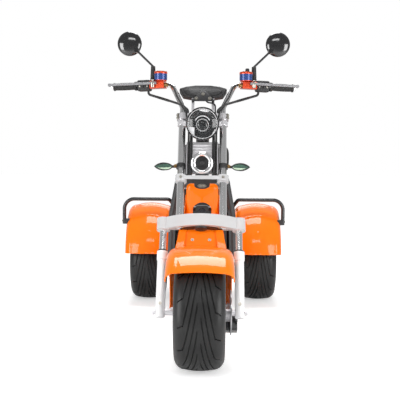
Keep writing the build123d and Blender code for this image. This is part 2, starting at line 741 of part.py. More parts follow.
def blinker_leaf():
    """Leaf outline seen from the front, pointing outwards."""
    half = BLINKER_H / 2
    root = (BLINKER_IN, 0)
    tip = (BLINKER_OUT, 0)
    middle = (2 * BLINKER_IN + BLINKER_OUT) / 3
    lines = Curve() + [ThreePointArc(root, (middle, half), tip), ThreePointArc(tip, (middle, -half), root)]
    return make_face(lines)


def front_blinkers():
    clamp = FORK * Pos(STANCHION_X, 0, LOWER_CLAMP_ALONG + BLINKER_UP)
    ring = clamp * collar(RING_H, STANCHION_R + FIT, RING_WALL)
    middle = BLINKER_AT + Vector(0, BLINKER_D / 2, 0)
    start = Vector(STANCHION_X + STANCHION_R + RING_WALL / 2, 0, 0)
    stalk = rod(middle + start, middle + Vector(BLINKER_IN + BLINKER_D / 2, 0, 0), STALK_R)
    leaf = extrude(Plane.XZ * blinker_leaf(), BLINKER_D - BLINKER_LENS_T)
    leaf = Pos(*BLINKER_AT) * Pos(0, BLINKER_D, 0) * leaf
    return joined(both(ring + stalk + leaf))


def front_blinker_lenses():
    leaf = extrude(Plane.XZ * blinker_leaf(), BLINKER_LENS_T - FIT)
    return joined(both(Pos(*BLINKER_AT) * Pos(0, BLINKER_LENS_T - FIT, 0) * leaf))


# Handlebar and controls


def bar_plane():
    """Plane at the bar's left end, with its Z axis running inwards along the bar."""
    return Plane(origin=BAR_END, x_dir=(0, -1, 0), z_dir=BAR_KNEE - BAR_END)


def handlebar():
    """Two bars out of the top clamp, each with a wider cap at its end."""
    foot = on_fork(STANCHION_X, 0, TOP_CLAMP_ALONG + FIT)
    rise = on_fork(STANCHION_X, 0, TOP_CLAMP_ALONG + BAR_RISE)
    bar = tube([foot, rise, BAR_KNEE, BAR_END], BAR_R, BAR_BEND)
    cap = Pos(0, 0, -CAP_T) * Cylinder(CAP_R, CAP_T, align=UPWARD)
    cap = fillet(cap.faces().sort_by(Axis.Z)[0].edges(), CAP_T / 3)
    return joined(both(bar + bar_plane() * cap))


def grips():
    grip = Cylinder(GRIP_R, GRIP_L, align=UPWARD) - Cylinder(BAR_R + FIT, GRIP_L, align=UPWARD)
    return joined(both(bar_plane() * Pos(0, 0, FIT) * grip))


def switch_pods():
    pod = Pos(0, 0, GRIP_L + POD_GAP) * Box(POD_W, POD_H, POD_L, align=UPWARD)
    pod = fillet(pod.edges(), POD_W / 5)
    pod -= Cylinder(BAR_R + FIT, 4 * GRIP_L)
    return joined(both(bar_plane() * pod))


def master_start():
    return GRIP_L + 2 * POD_GAP + POD_L


def reservoir_place():
    """Point on the bar under the middle of the reservoir, moved forwards."""
    forward = MASTER_REACH - RESERVOIR_R / 2
    return bar_plane().from_local_coords(Vector(forward, 0, master_start() + RESERVOIR_AT))


def master_cylinders():
    body = Pos(0, 0, master_start()) * Box(MASTER_W, MASTER_W, MASTER_L, align=UPWARD)
    reach = Box(MASTER_REACH, MASTER_W, MASTER_L, align=UPWARD)
    body += Pos(MASTER_REACH / 2, 0, master_start()) * reach
    body = fillet(body.edges().filter_by(Axis.Z), MASTER_W / 5)
    body -= Cylinder(BAR_R + FIT, 4 * (master_start() + MASTER_L))
    body = bar_plane() * body
    seat = reservoir_place()
    top = seat.Z + MASTER_W / 2
    body -= Pos(seat.X, seat.Y, top - FIT) * Cylinder(RESERVOIR_R + FIT, RESERVOIR_H, align=UPWARD)
    return joined(both(body))


def reservoirs():
    seat = reservoir_place()
    cup = Cylinder(RESERVOIR_R, RESERVOIR_H, align=UPWARD)
    cup = fillet(cup.faces().sort_by(Axis.Z)[-1].edges(), RESERVOIR_H / 8)
    return joined(both(Pos(seat.X, seat.Y, seat.Z + MASTER_W / 2) * cup))


def brake_levers():
    reach = MASTER_REACH + LEVER_R + FIT
    root = bar_plane().from_local_coords(Vector(reach, LEVER_R, master_start() + MASTER_L / 2))
    bend = bar_plane().from_local_coords(Vector(reach, LEVER_R, POD_L / 2))
    tip = bar_plane().from_local_coords(Vector(reach - LEVER_R, LEVER_R, -LEVER_BALL_R))
    blade = tube([root, bend, tip], LEVER_R, POD_L / 4)
    blade += Pos(*tip) * Sphere(LEVER_BALL_R)
    return joined(both(blade))


# Hoses and wiring


def brake_hoses():
    """Hose from each brake cylinder down the bar's front and behind the lamp to the lower clamp."""
    outlet = master_start() + MASTER_L
    half_way = (on_fork(STANCHION_X, 0, TOP_CLAMP_ALONG + BAR_RISE) + BAR_KNEE) / 2
    route = [
        bar_plane().from_local_coords(Vector(HOSE_AHEAD, 0, outlet + FIT)),
        bar_plane().from_local_coords(Vector(HOSE_AHEAD, 0, outlet + HOSE_OUTLET)),
        half_way - Vector(0, HOSE_FROM_BAR, HOSE_R),
        on_fork(HOSE_X + 3 * HOSE_R, -HOSE_FROM_CLAMP, TOP_CLAMP_ALONG + 2 * HOSE_R),
    ]
    route += down_the_fork(HOSE_X, HOSE_R, 0)
    return joined(both(tube(route, HOSE_R, HOSE_BEND)))


def down_the_fork(x, radius, back):
    """Points from behind the lamp, over the front of the lamp plate, to the lower clamp."""
    front = -radius - FORK_LOOM_GAP
    return [
        on_fork(x, back, TOP_CLAMP_ALONG - BEHIND_LAMP),
        on_fork(x, front, PLATE_TOP + FORK_LOOM_R),
        on_fork(x, front, LOWER_CLAMP_ALONG + LOWER_CLAMP_T / 2 + FIT),
    ]


def switch_loom():
    """Loom from a switch housing, under the bar and in front of it, down to the top clamp."""
    start = GRIP_L + POD_GAP + LOOM_POD_IN
    crossing = on_fork(STANCHION_X, 0, TOP_CLAMP_ALONG + BAR_RISE)
    foot = TOP_CLAMP_ALONG + TOP_CLAMP_T / 2 + FIT
    route = [
        bar_plane().from_local_coords(Vector(0, -POD_H / 2 - FIT, start)),
        bar_plane().from_local_coords(Vector(0, -POD_H / 2 - LOOM_DROP, start)),
        BAR_KNEE + Vector(*LOOM_SAG),
        crossing + Vector(LOOM_R, -1.6 * BAR_R, BAR_R),
        on_fork(LOOM_X, -2 * LOOM_R, foot + LOOM_FOOT),
        on_fork(LOOM_X, -2 * LOOM_R, foot),
    ]
    return tube(route, LOOM_R, LOOM_BEND)


def fork_loom():
    """Ribbed conduit between the clamps, beside the hose."""
    top = on_fork(FORK_LOOM_X, FORK_LOOM_R, TOP_CLAMP_ALONG - TOP_CLAMP_T / 2 - FIT)
    route = [top] + down_the_fork(FORK_LOOM_X, FORK_LOOM_R, FORK_LOOM_R)
    return tube(route, FORK_LOOM_R, FORK_LOOM_BEND)


def dash_cable():
    """Cable from under the dash, past the left post, to the top clamp."""
    front = -POST_T / 2 - CABLE_R - FORK_LOOM_GAP
    route = [
        on_fork(CABLE_X, front, DASH_LOW - FIT),
        on_fork(CABLE_X, front, DASH_LOW - CABLE_DROP),
        on_fork(CABLE_FOOT_X, front, DASH_LOW - CABLE_DROP - 2 * CABLE_R),
        on_fork(CABLE_FOOT_X, front, TOP_CLAMP_ALONG + TOP_CLAMP_T / 2 + FIT),
    ]
    return tube(route, CABLE_R, CABLE_BEND)


def wiring_looms():
    return joined(both(switch_loom()) + both(fork_loom()) + [dash_cable()])


# Mirrors


def perch_point():
    return bar_plane().from_local_coords(Vector(0, 0, master_start() + PERCH_AT))


def mirror_stems():
    root = perch_point()
    foot = root.Z + MASTER_W / 2 + 2 * FIT
    top = from_clamp(0, 0, PERCH_UP).Z
    perch = Pos(root.X, root.Y, foot) * Cylinder(PERCH_R, top - foot, align=UPWARD)
    knee = Vector(root.X, root.Y, top)
    lean = (MIRROR_AT - knee).normalized()
    stem = rod(knee - lean * PERCH_R / 2, MIRROR_AT, STEM_ROD_R)
    head = Pos(*MIRROR_AT) * TO_FRONT * Cylinder(MIRROR_R + FIT, 2 * MIRROR_DEPTH)
    return joined(both(perch + stem - head))


def mirror_shells():
    """Domed round back, open behind for the glass."""
    dome = Cylinder(MIRROR_R, MIRROR_DEPTH, align=UPWARD)
    dome = fillet(dome.faces().sort_by(Axis.Z)[-1].edges(), MIRROR_DEPTH * 0.7)
    dome -= Cylinder(MIRROR_R - MIRROR_RIM, MIRROR_GLASS_T, align=UPWARD)
    return joined(both(Pos(*MIRROR_AT) * Pos(0, MIRROR_DEPTH / 2, 0) * TO_FRONT * dome))


def mirror_glass():
    glass = Cylinder(MIRROR_R - MIRROR_RIM - FIT, MIRROR_GLASS_T - FIT, align=UPWARD)
    return joined(both(Pos(*MIRROR_AT) * Pos(0, MIRROR_DEPTH / 2, 0) * TO_FRONT * glass))


# Dash


def dash():
    left = [(DASH_LOW_HALF, DASH_LOW), (DASH_HALF, DASH_MID), (DASH_TOP_HALF, DASH_TOP)]
    right = [(-x, along) for x, along in reversed(left)]
    face = make_face(Polyline(*left, *right, close=True))
    face = fillet(face.vertices(), DASH_T / 6)
    panel = extrude(Plane.XZ * face, DASH_T)
    return FORK * Pos(0, DASH_BACK + DASH_T, 0) * panel


# Frame


def head_tube():
    low = LOWER_CLAMP_ALONG + LOWER_CLAMP_T / 2 + HEAD_PLAY
    high = TOP_CLAMP_ALONG - TOP_CLAMP_T / 2 - HEAD_PLAY
    ring = Cylinder(HEAD_R, high - low, align=UPWARD)
    ring -= Cylinder(STEM_R + RUNNING_FIT, high - low, align=UPWARD)
    return FORK * Pos(0, FORK_OFFSET, low) * ring


def side_tube():
    """One side of the frame, from the head tube along the floor to the tail."""
    path = [
        HEAD_JOIN, SHOULDER, KNEE, SHIN,
        (RAIL_X, FLOOR_FRONT_Y, RAIL_Z),
        (RAIL_X, FLOOR_BACK_Y, RAIL_Z),
        (RAIL_X, SEAT_RAIL_Y, SEAT_RAIL_Z),
        (RAIL_X, TAIL_Y, SEAT_RAIL_Z),
    ]
    return tube(path, TUBE_R, FRAME_BEND)


def frame_side():
    room = FORK * Pos(0, FORK_OFFSET, LOWER_CLAMP_ALONG) * Cylinder(HEAD_R + FIT, 2 * LOWER_CLAMP_ALONG)
    return (side_tube() - room).solids().sort_by(SortBy.VOLUME)[-1]


def down_tube_y(z):
    """Y of the down tubes at a height between their shoulder and knee."""
    share = (SHOULDER.Z - z) / (SHOULDER.Z - KNEE.Z)
    return SHOULDER.Y + share * (KNEE.Y - SHOULDER.Y)


def cross_bar(y, z, half):
    return Pos(0, y, z) * TO_LEFT * Cylinder(CROSS_R, 2 * half)


def frame_cross():
    """Tubes across the frame, each ending just inside the side tubes, and the fender stays."""
    inner = RAIL_X - TUBE_R - FIT
    bars = [
        cross_bar(FLOOR_FRONT_Y + 2 * CROSS_R, RAIL_Z, inner),
        cross_bar(BATTERY_FRONT_Y + 2 * CROSS_R, RAIL_Z, inner),
        cross_bar(PIVOT_Y, RAIL_Z, inner),
        cross_bar(SEAT_RAIL_Y + 4 * CROSS_R, SEAT_RAIL_Z, inner),
        cross_bar(TAIL_Y - CROSS_R, SEAT_RAIL_Z, inner),
    ]
    for z in (NOSE_CROSS_Z, BOX_CROSS_Z):
        bars.append(cross_bar(down_tube_y(z), z, RAIL_X) - side_room())
    return joined([bar.solids().sort_by(SortBy.VOLUME)[-1] for bar in bars] + both(fender_stay()))


def side_room():
    """Both side tubes with the fit's clearance round them."""
    floor = [(RAIL_X, FLOOR_FRONT_Y, RAIL_Z), (RAIL_X, FLOOR_BACK_Y, RAIL_Z)]
    room = tube([HEAD_JOIN, SHOULDER, KNEE, SHIN] + floor, TUBE_R + FIT, FRAME_BEND)
    return room + mirror(room, Plane.YZ)


def nose_cover():
    face = trapezoid(NOSE_LOW_HALF, NOSE_LOW, NOSE_TOP_HALF, NOSE_TOP)
    face = fillet(face.vertices().sort_by(Axis.Y)[-2:], NOSE_FILLET)
    spring = NOTCH_TOP - NOTCH_HALF
    notch = trapezoid(NOTCH_HALF, NOSE_LOW, NOTCH_HALF, spring) + Pos(0, spring) * Circle(NOTCH_HALF)
    depth = down_tube_y(NOSE_CROSS_Z) - CROSS_R - FIT - NOSE_FRONT_Y
    cover = extrude(Plane.XZ * (face - notch), depth)
    cover = Pos(0, NOSE_FRONT_Y + depth, 0) * cover
    return cover


def lock_box():
    back = down_tube_y(BOX_CROSS_Z) - CROSS_R - FIT
    box = block(-LOCK_HALF, LOCK_HALF, back - LOCK_DEPTH, back, LOCK_LOW, LOCK_LOW + LOCK_H)
    return fillet(box.edges().filter_by(Axis.Y), LOCK_DEPTH / 5)


def footboard():
    low = RAIL_Z + TUBE_R + FIT
    board = block(-BOARD_HALF, BOARD_HALF, BOARD_FRONT_Y, BOARD_BACK_Y, low, low + BOARD_T)
    board = fillet(board.edges().filter_by(Axis.Z), 2 * BOARD_T)
    return board - side_room()


def battery_box():
    low = RAIL_Z + CROSS_R + FIT
    top = SEAT_LOW_Z - 2 * FIT
    box = block(-BATTERY_HALF, BATTERY_HALF, BATTERY_FRONT_Y, BATTERY_BACK_Y, low, top)
    return fillet(box.edges().filter_by(Axis.Z), CROSS_R)


def side_panel():
    """Outline of a side cover, from the footboard back to the frame's rear upright."""
    corners = [
        (BATTERY_FRONT_Y, PANEL_LOW_Z),
        (FLOOR_BACK_Y, PANEL_LOW_Z),
        (SEAT_RAIL_Y, SEAT_RAIL_Z),
        (BATTERY_FRONT_Y, SEAT_RAIL_Z),
    ]
    face = make_face(Polyline(*corners, close=True))
    face = fillet(face.vertices(), PANEL_FILLET)
    panel = extrude(Plane.YZ * face, PANEL_T)
    panel = Pos(RAIL_X + TUBE_R + FIT, 0, 0) * panel
    return fillet(panel.faces().sort_by(Axis.X)[-1].edges(), PANEL_T / 2)


def charge_socket_cut():
    outer = RAIL_X + TUBE_R + FIT + PANEL_T
    bore = Cylinder(SOCKET_R, 2 * SOCKET_DEPTH, align=UPWARD)
    return Pos(outer - SOCKET_DEPTH, SOCKET_Y, SOCKET_Z) * TO_LEFT * bore


def side_panels():
    """Covers on both sides, the left one with the charging socket."""
    return joined([side_panel() - charge_socket_cut(), mirror(side_panel(), Plane.YZ)])


def seat():
    low = SEAT_LOW_Z
    corners = [
        (SEAT_FRONT_Y, low),
        (SEAT_BACK_Y, low),
        (SEAT_BACK_Y, low + SEAT_STEP_H),
        (SEAT_STEP_Y, low + SEAT_STEP_H),
        (SEAT_STEP_Y - SEAT_FILLET, low + SEAT_H),
        (SEAT_FRONT_Y, low + SEAT_H),
    ]
    face = make_face(Polyline(*corners, close=True))
    body = extrude(Plane.YZ * face, SEAT_HALF, both=True)
    return fillet(body.edges().filter_by(Axis.Z), SEAT_FILLET)


def backrest():
    corner = min(PAD_CORNER, 0.45 * PAD_H)
    face = RectangleRounded(2 * PAD_HALF, PAD_H, corner)
    pad = extrude(Plane.XZ * face, PAD_T)
    return Pos(0, PAD_BACK_Y - SISSY_R - FIT, (PAD_TOP + PAD_LOW) / 2) * pad


def sissy_bar():
    foot = SEAT_RAIL_Z + CROSS_R + FIT
    y = TAIL_Y - CROSS_R
    left = [(SISSY_X, y, foot), (SISSY_X, PAD_BACK_Y, SISSY_TOP)]
    right = [(-x, back, up) for x, back, up in reversed(left)]
    return tube(left + right, SISSY_R, FRAME_BEND)


# Rear axle


def rear_axle():
    """Housing tube with stub axles and two arms to the frame."""
    reach = REAR_WHEEL_X + REAR_HUB_HALF + AXLE_NUT_T
    shaft = Cylinder(STUB_R, 2 * reach) + Cylinder(HOUSING_R, 2 * HOUSING_HALF)
    nut = extrude(RegularPolygon(2 * AXLE_NUT_R, 6), AXLE_NUT_T)
    shaft += Pos(0, 0, reach - AXLE_NUT_T + SIDE_PLAY) * nut
    shaft += Pos(0, 0, -reach - SIDE_PLAY) * nut
    axle = Pos(0, WHEELBASE, AXLE_Z) * TO_LEFT * shaft
    for side in (-1, 1):
        axle += rod((side * ARM_X, PIVOT_Y, RAIL_Z), (side * ARM_X, WHEELBASE, AXLE_Z), ARM_R)
    axle -= Pos(0, PIVOT_Y, RAIL_Z) * TO_LEFT * Cylinder(CROSS_R + FIT, 4 * RAIL_X)
    axle -= block(-RAIL_X, RAIL_X, 0, PIVOT_Y, 0, 2 * RAIL_Z)
    return axle.solids().sort_by(SortBy.VOLUME)[-1]


def motor():
    drum = Cylinder(MOTOR_R, MOTOR_L) - Cylinder(HOUSING_R + FIT, MOTOR_L)
    return Pos(0, WHEELBASE, AXLE_Z) * TO_LEFT * drum


def shocks():
    low = AXLE_Z + HOUSING_R + FIT
    high = SEAT_RAIL_Z - TUBE_R - FIT
    length = high - low
    damper = Cylinder(SHOCK_R, length, align=UPWARD)
    span = length - 4 * SHOCK_EYE_R
    for coil in range(SPRING_COILS):
        height = 2 * SHOCK_EYE_R + span * (coil + 0.5) / SPRING_COILS
        damper += Pos(0, 0, height) * Torus(SPRING_R, SPRING_WIRE)
    damper += Pos(0, 0, 2 * SHOCK_EYE_R) * Cylinder(SPRING_R - SPRING_WIRE / 2, span, align=UPWARD)
    return joined(both(Pos(SHOCK_X, WHEELBASE, low) * damper))


# Rear fenders and rails


def rear_fender_arch(extra, front, rear):
    return Pos(REAR_FENDER_X, WHEELBASE, AXLE_Z + REAR_FENDER_LIFT) * arch(
        REAR_FENDER_HALF + extra, REAR_FENDER_LOW_R, REAR_FENDER_R + extra, REAR_FENDER_CROWN,
        REAR_FENDER_SHOULDER + extra, front, rear)


def rear_fender():
    """Fender over the left rear wheel."""
    return Pos(REAR_FENDER_X, WHEELBASE, AXLE_Z + REAR_FENDER_LIFT) * fender(
        REAR_FENDER_HALF, REAR_FENDER_LOW_R, REAR_FENDER_R, REAR_FENDER_CROWN, REAR_FENDER_SHOULDER,
        FENDER_WALL, REAR_FENDER_FRONT, REAR_FENDER_REAR)


def fender_stay():
    """Plate between the left seat rail and the inner wall of the left rear fender."""
    inner = RAIL_X + TUBE_R + FIT
    outer = REAR_FENDER_X - REAR_FENDER_HALF - FIT
    top = SEAT_RAIL_Z + TUBE_R / 2
    return block(inner, outer, WHEELBASE - STAY_L / 2, WHEELBASE + STAY_L / 2, top - STAY_H, top)


def grab_rails():
    start = RAIL_X + TUBE_R + FIT
    path = [
        (start, GRAB_Y + 4 * GRAB_R, SEAT_RAIL_Z),
        (start + 3 * GRAB_R, GRAB_Y, GRAB_Z),
        (GRAB_X, GRAB_Y, GRAB_Z),
        (GRAB_X, GRAB_Y, GRAB_LOW),
    ]
    rail = tube(path, GRAB_R, [GRAB_R * 2, GRAB_BEND])
    inner = GRAB_X - 3 * GRAB_R
    tab = block(inner, GRAB_X, GRAB_Y - GRAB_TAB / 2, GRAB_Y + GRAB_TAB / 2, GRAB_LOW, GRAB_LOW + GRAB_TAB)
    rail += (tab - rear_fender_arch(FIT, 180, 180)).solids().sort_by(SortBy.VOLUME)[-1]
    return joined(both(rail))


# Tail


def tail_lamp():
    front = TAIL_Y + FIT
    low = SEAT_RAIL_Z
    lamp = block(-TAIL_LAMP_HALF, TAIL_LAMP_HALF, front, front + TAIL_LAMP_D, low, low + TAIL_LAMP_H)
    return fillet(lamp.faces().sort_by(Axis.Y)[-1].edges(), TAIL_LAMP_H / 4)


def rear_blinkers():
    start = TAIL_LAMP_HALF + FIT
    y = TAIL_Y + TAIL_BLINKER_R + FIT
    lamp = rod((start, y, SEAT_RAIL_Z), (start + TAIL_BLINKER_L, y, SEAT_RAIL_Z), TAIL_BLINKER_R)
    return joined(both(lamp))


def plate_holder():
    """Blank plate with two bolt holes, on an arm below the tail lamp."""
    top = SEAT_RAIL_Z - FIT
    front = TAIL_Y + TAIL_LAMP_D / 2
    arm = block(-HOLDER_ARM / 2, HOLDER_ARM / 2, TAIL_Y + FIT, front + HOLDER_T, top - HOLDER_ARM, top)
    low = top - HOLDER_ARM - HOLDER_H
    plate = block(-HOLDER_HALF, HOLDER_HALF, front, front + HOLDER_T, low, top - HOLDER_ARM / 2)
    holder = arm + plate
    for side in (-1, 1):
        place = Pos(side * HOLDER_HOLE_SPACING / 2, front, low + HOLDER_H / 2)
        holder -= place * TO_FRONT * Cylinder(HOLDER_HOLE_R, 4 * HOLDER_T)
    return holder


def pieces():
    """Every node of the vehicle by name."""
    nodes = {
        "front_tyre": tyre(), "front_rim": front_rim(), "front_disc": front_disc(),
        "fork_tubes": fork_tubes(), "fork_legs": fork_legs(), "wide_yoke": wide_yoke(),
        "lower_clamp": lower_clamp(), "top_clamp": top_clamp(),
        "front_axle": front_axle(), "brake_caliper": brake_caliper(),
        "front_fender": front_fender(), "fender_shield": fender_shield(),
        "headlight_shell": headlight_shell(), "headlight_lens": headlight_lens(),
        "lamp_bracket": lamp_bracket(), "horn": horn(),
        "front_blinkers": front_blinkers(), "front_blinker_lenses": front_blinker_lenses(),
        "handlebar": handlebar(), "grips": grips(), "switch_pods": switch_pods(),
        "master_cylinders": master_cylinders(), "reservoirs": reservoirs(),
        "brake_levers": brake_levers(),
        "mirror_stems": mirror_stems(), "mirror_shells": mirror_shells(), "mirror_glass": mirror_glass(),
        "dash": dash(), "brake_hoses": brake_hoses(), "wiring_looms": wiring_looms(),
        "head_tube": head_tube(),
        "frame_left": frame_side(), "frame_right": mirror(frame_side(), Plane.YZ),
        "frame_cross": frame_cross(),
        "nose_cover": nose_cover(), "lock_box": lock_box(), "footboard": footboard(),
        "battery_box": battery_box(), "side_panels": side_panels(),
        "seat": seat(), "backrest": backrest(), "sissy_bar": sissy_bar(),
        "rear_axle": rear_axle(), "motor": motor(), "shocks": shocks(),
        "rear_fender_left": rear_fender(), "rear_fender_right": mirror(rear_fender(), Plane.YZ),
        "grab_rails": grab_rails(),
        "tail_lamp": tail_lamp(), "rear_blinkers": rear_blinkers(), "plate_holder": plate_holder(),
    }
    wheel = Pos(0, 0, AXLE_Z) * rear_rim()
    for name, side in (("left", 1), ("right", -1)):
        turn = Pos() if side > 0 else Rot(0, 0, 180)
        nodes["rear_tyre_" + name] = rear_wheel_place(side) * tyre()
        nodes["rear_rim_" + name] = rear_wheel_place(side) * turn * wheel
    return nodes


os.makedirs("parts", exist_ok=True)
for name, piece in pieces().items():
    export_step(Pos(0, FRONT_Y, 0) * piece, "parts/" + name + ".step")
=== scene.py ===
"""Looks of a three-wheeled electric motorcycle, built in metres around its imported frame."""
import json
from math import cos, hypot, pi, radians, sin, sqrt, tau

import bmesh
import bpy
from mathutils import Matrix, Quaternion, Vector


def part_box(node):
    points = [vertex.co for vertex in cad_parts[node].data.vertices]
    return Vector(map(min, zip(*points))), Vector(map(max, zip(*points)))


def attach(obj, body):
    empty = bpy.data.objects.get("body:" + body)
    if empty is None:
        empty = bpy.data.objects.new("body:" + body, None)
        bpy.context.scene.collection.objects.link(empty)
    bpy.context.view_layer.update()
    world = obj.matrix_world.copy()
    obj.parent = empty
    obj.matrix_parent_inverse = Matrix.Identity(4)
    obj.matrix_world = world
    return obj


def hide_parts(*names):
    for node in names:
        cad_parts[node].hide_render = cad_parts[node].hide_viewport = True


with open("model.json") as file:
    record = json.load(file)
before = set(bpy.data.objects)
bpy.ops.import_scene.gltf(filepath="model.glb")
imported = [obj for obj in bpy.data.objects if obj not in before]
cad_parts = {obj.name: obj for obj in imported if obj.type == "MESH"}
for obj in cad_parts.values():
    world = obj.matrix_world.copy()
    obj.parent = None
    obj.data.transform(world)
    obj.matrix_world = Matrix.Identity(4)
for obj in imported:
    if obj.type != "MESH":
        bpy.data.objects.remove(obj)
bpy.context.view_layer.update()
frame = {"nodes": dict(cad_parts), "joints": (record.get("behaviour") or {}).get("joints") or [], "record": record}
NODES = frame["nodes"]
SIDES = (-1, 1)


# Camera at the photograph's place, a little right of the vehicle's middle

CAMERA_AT = Vector((0.0357, -3.47525, 0.858))
CAMERA_DOWN = radians(3.68)
CAMERA_YAW = radians(0.818)
CAMERA_ROLL = radians(0.5)
CAMERA_LENS = 62.1


def add_camera():
    camera = bpy.data.objects.new("camera", bpy.data.cameras.new("camera"))
    camera.data.lens = CAMERA_LENS
    level = cos(CAMERA_DOWN)
    ahead = Vector((-sin(CAMERA_YAW) * level, cos(CAMERA_YAW) * level, -sin(CAMERA_DOWN)))
    camera.location = CAMERA_AT
    turn = ahead.to_track_quat("-Z", "Y") @ Quaternion((0, 0, 1), CAMERA_ROLL)
    camera.rotation_euler = turn.to_euler()
    bpy.context.scene.collection.objects.link(camera)
    bpy.context.scene.camera = camera


add_camera()


# Places taken from the frame


def middle(node):
    low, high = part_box(node)
    return (low + high) / 2


def half_size(node):
    low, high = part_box(node)
    return (high - low) / 2


STEER_UP = Vector(frame["joints"][0]["axis"])
STEER_BACK = Vector((0, STEER_UP.z, -STEER_UP.y))
ACROSS = Vector((1, 0, 0))
BACKWARD = Vector((0, 1, 0))
UP = Vector((0, 0, 1))
FRONT_AXLE = middle("front_tyre")
TYRE_R = half_size("front_tyre").z
TYRE_HALF = half_size("front_tyre").x
STANCHION_X = 0.0925
LEG_X = 0.160
LEG_TOP = 0.256
STANCHION_R = 0.0160
SLIDER_R = 0.0145
SLIDER_DEPTH = 0.110
YOKE_SEAT = 0.012
STEM_BACK = 0.045
YOKE_ALONG = 0.378
LOWER_CLAMP_ALONG = 0.595
TOP_CLAMP_ALONG = 0.905


def on_fork(x, back, along):
    """Point behind the fork's plane and along it from the front axle."""
    return FRONT_AXLE + ACROSS * x + STEER_BACK * back + STEER_UP * along


def from_clamp(x, back, up):
    """Point measured from the middle of the top clamp."""
    return on_fork(0, 0, TOP_CLAMP_ALONG) + Vector((x, back, up))


def facing(origin, direction, upward=UP):
    """Placement whose Z axis points along a direction, with its Y axis near upward."""
    z = Vector(direction).normalized()
    x = Vector(upward).cross(z)
    if x.length < 1e-4:
        x = ACROSS - z * ACROSS.dot(z)
    x.normalize()
    y = z.cross(x)
    turn = Matrix((x, y, z)).transposed().to_4x4()
    return Matrix.Translation(origin) @ turn


def mirrored(point, side):
    return Vector((point[0] * side, point[1], point[2]))


def shift(x, y, z):
    """Placement moved from the origin, with the axes kept."""
    return Matrix.Translation((x, y, z))


def turns(count, start=0.0):
    """Angles evenly round a circle."""
    return [start + tau * i / count for i in range(count)]


def wheel_circle(centre, radius, count, start=0.0):
    """Points round a circle that stands across the vehicle, as on a wheel."""
    return [centre + Vector((0, radius * cos(a), radius * sin(a))) for a in turns(count, start)]


def oblong(x, y):
    """Corners of a rectangle from its half sides."""
    return [(-x, -y), (x, -y), (x, y), (-x, y)]


# Shapes: each gathers the faces of one piece

BEVEL_PROFILE = 0.6


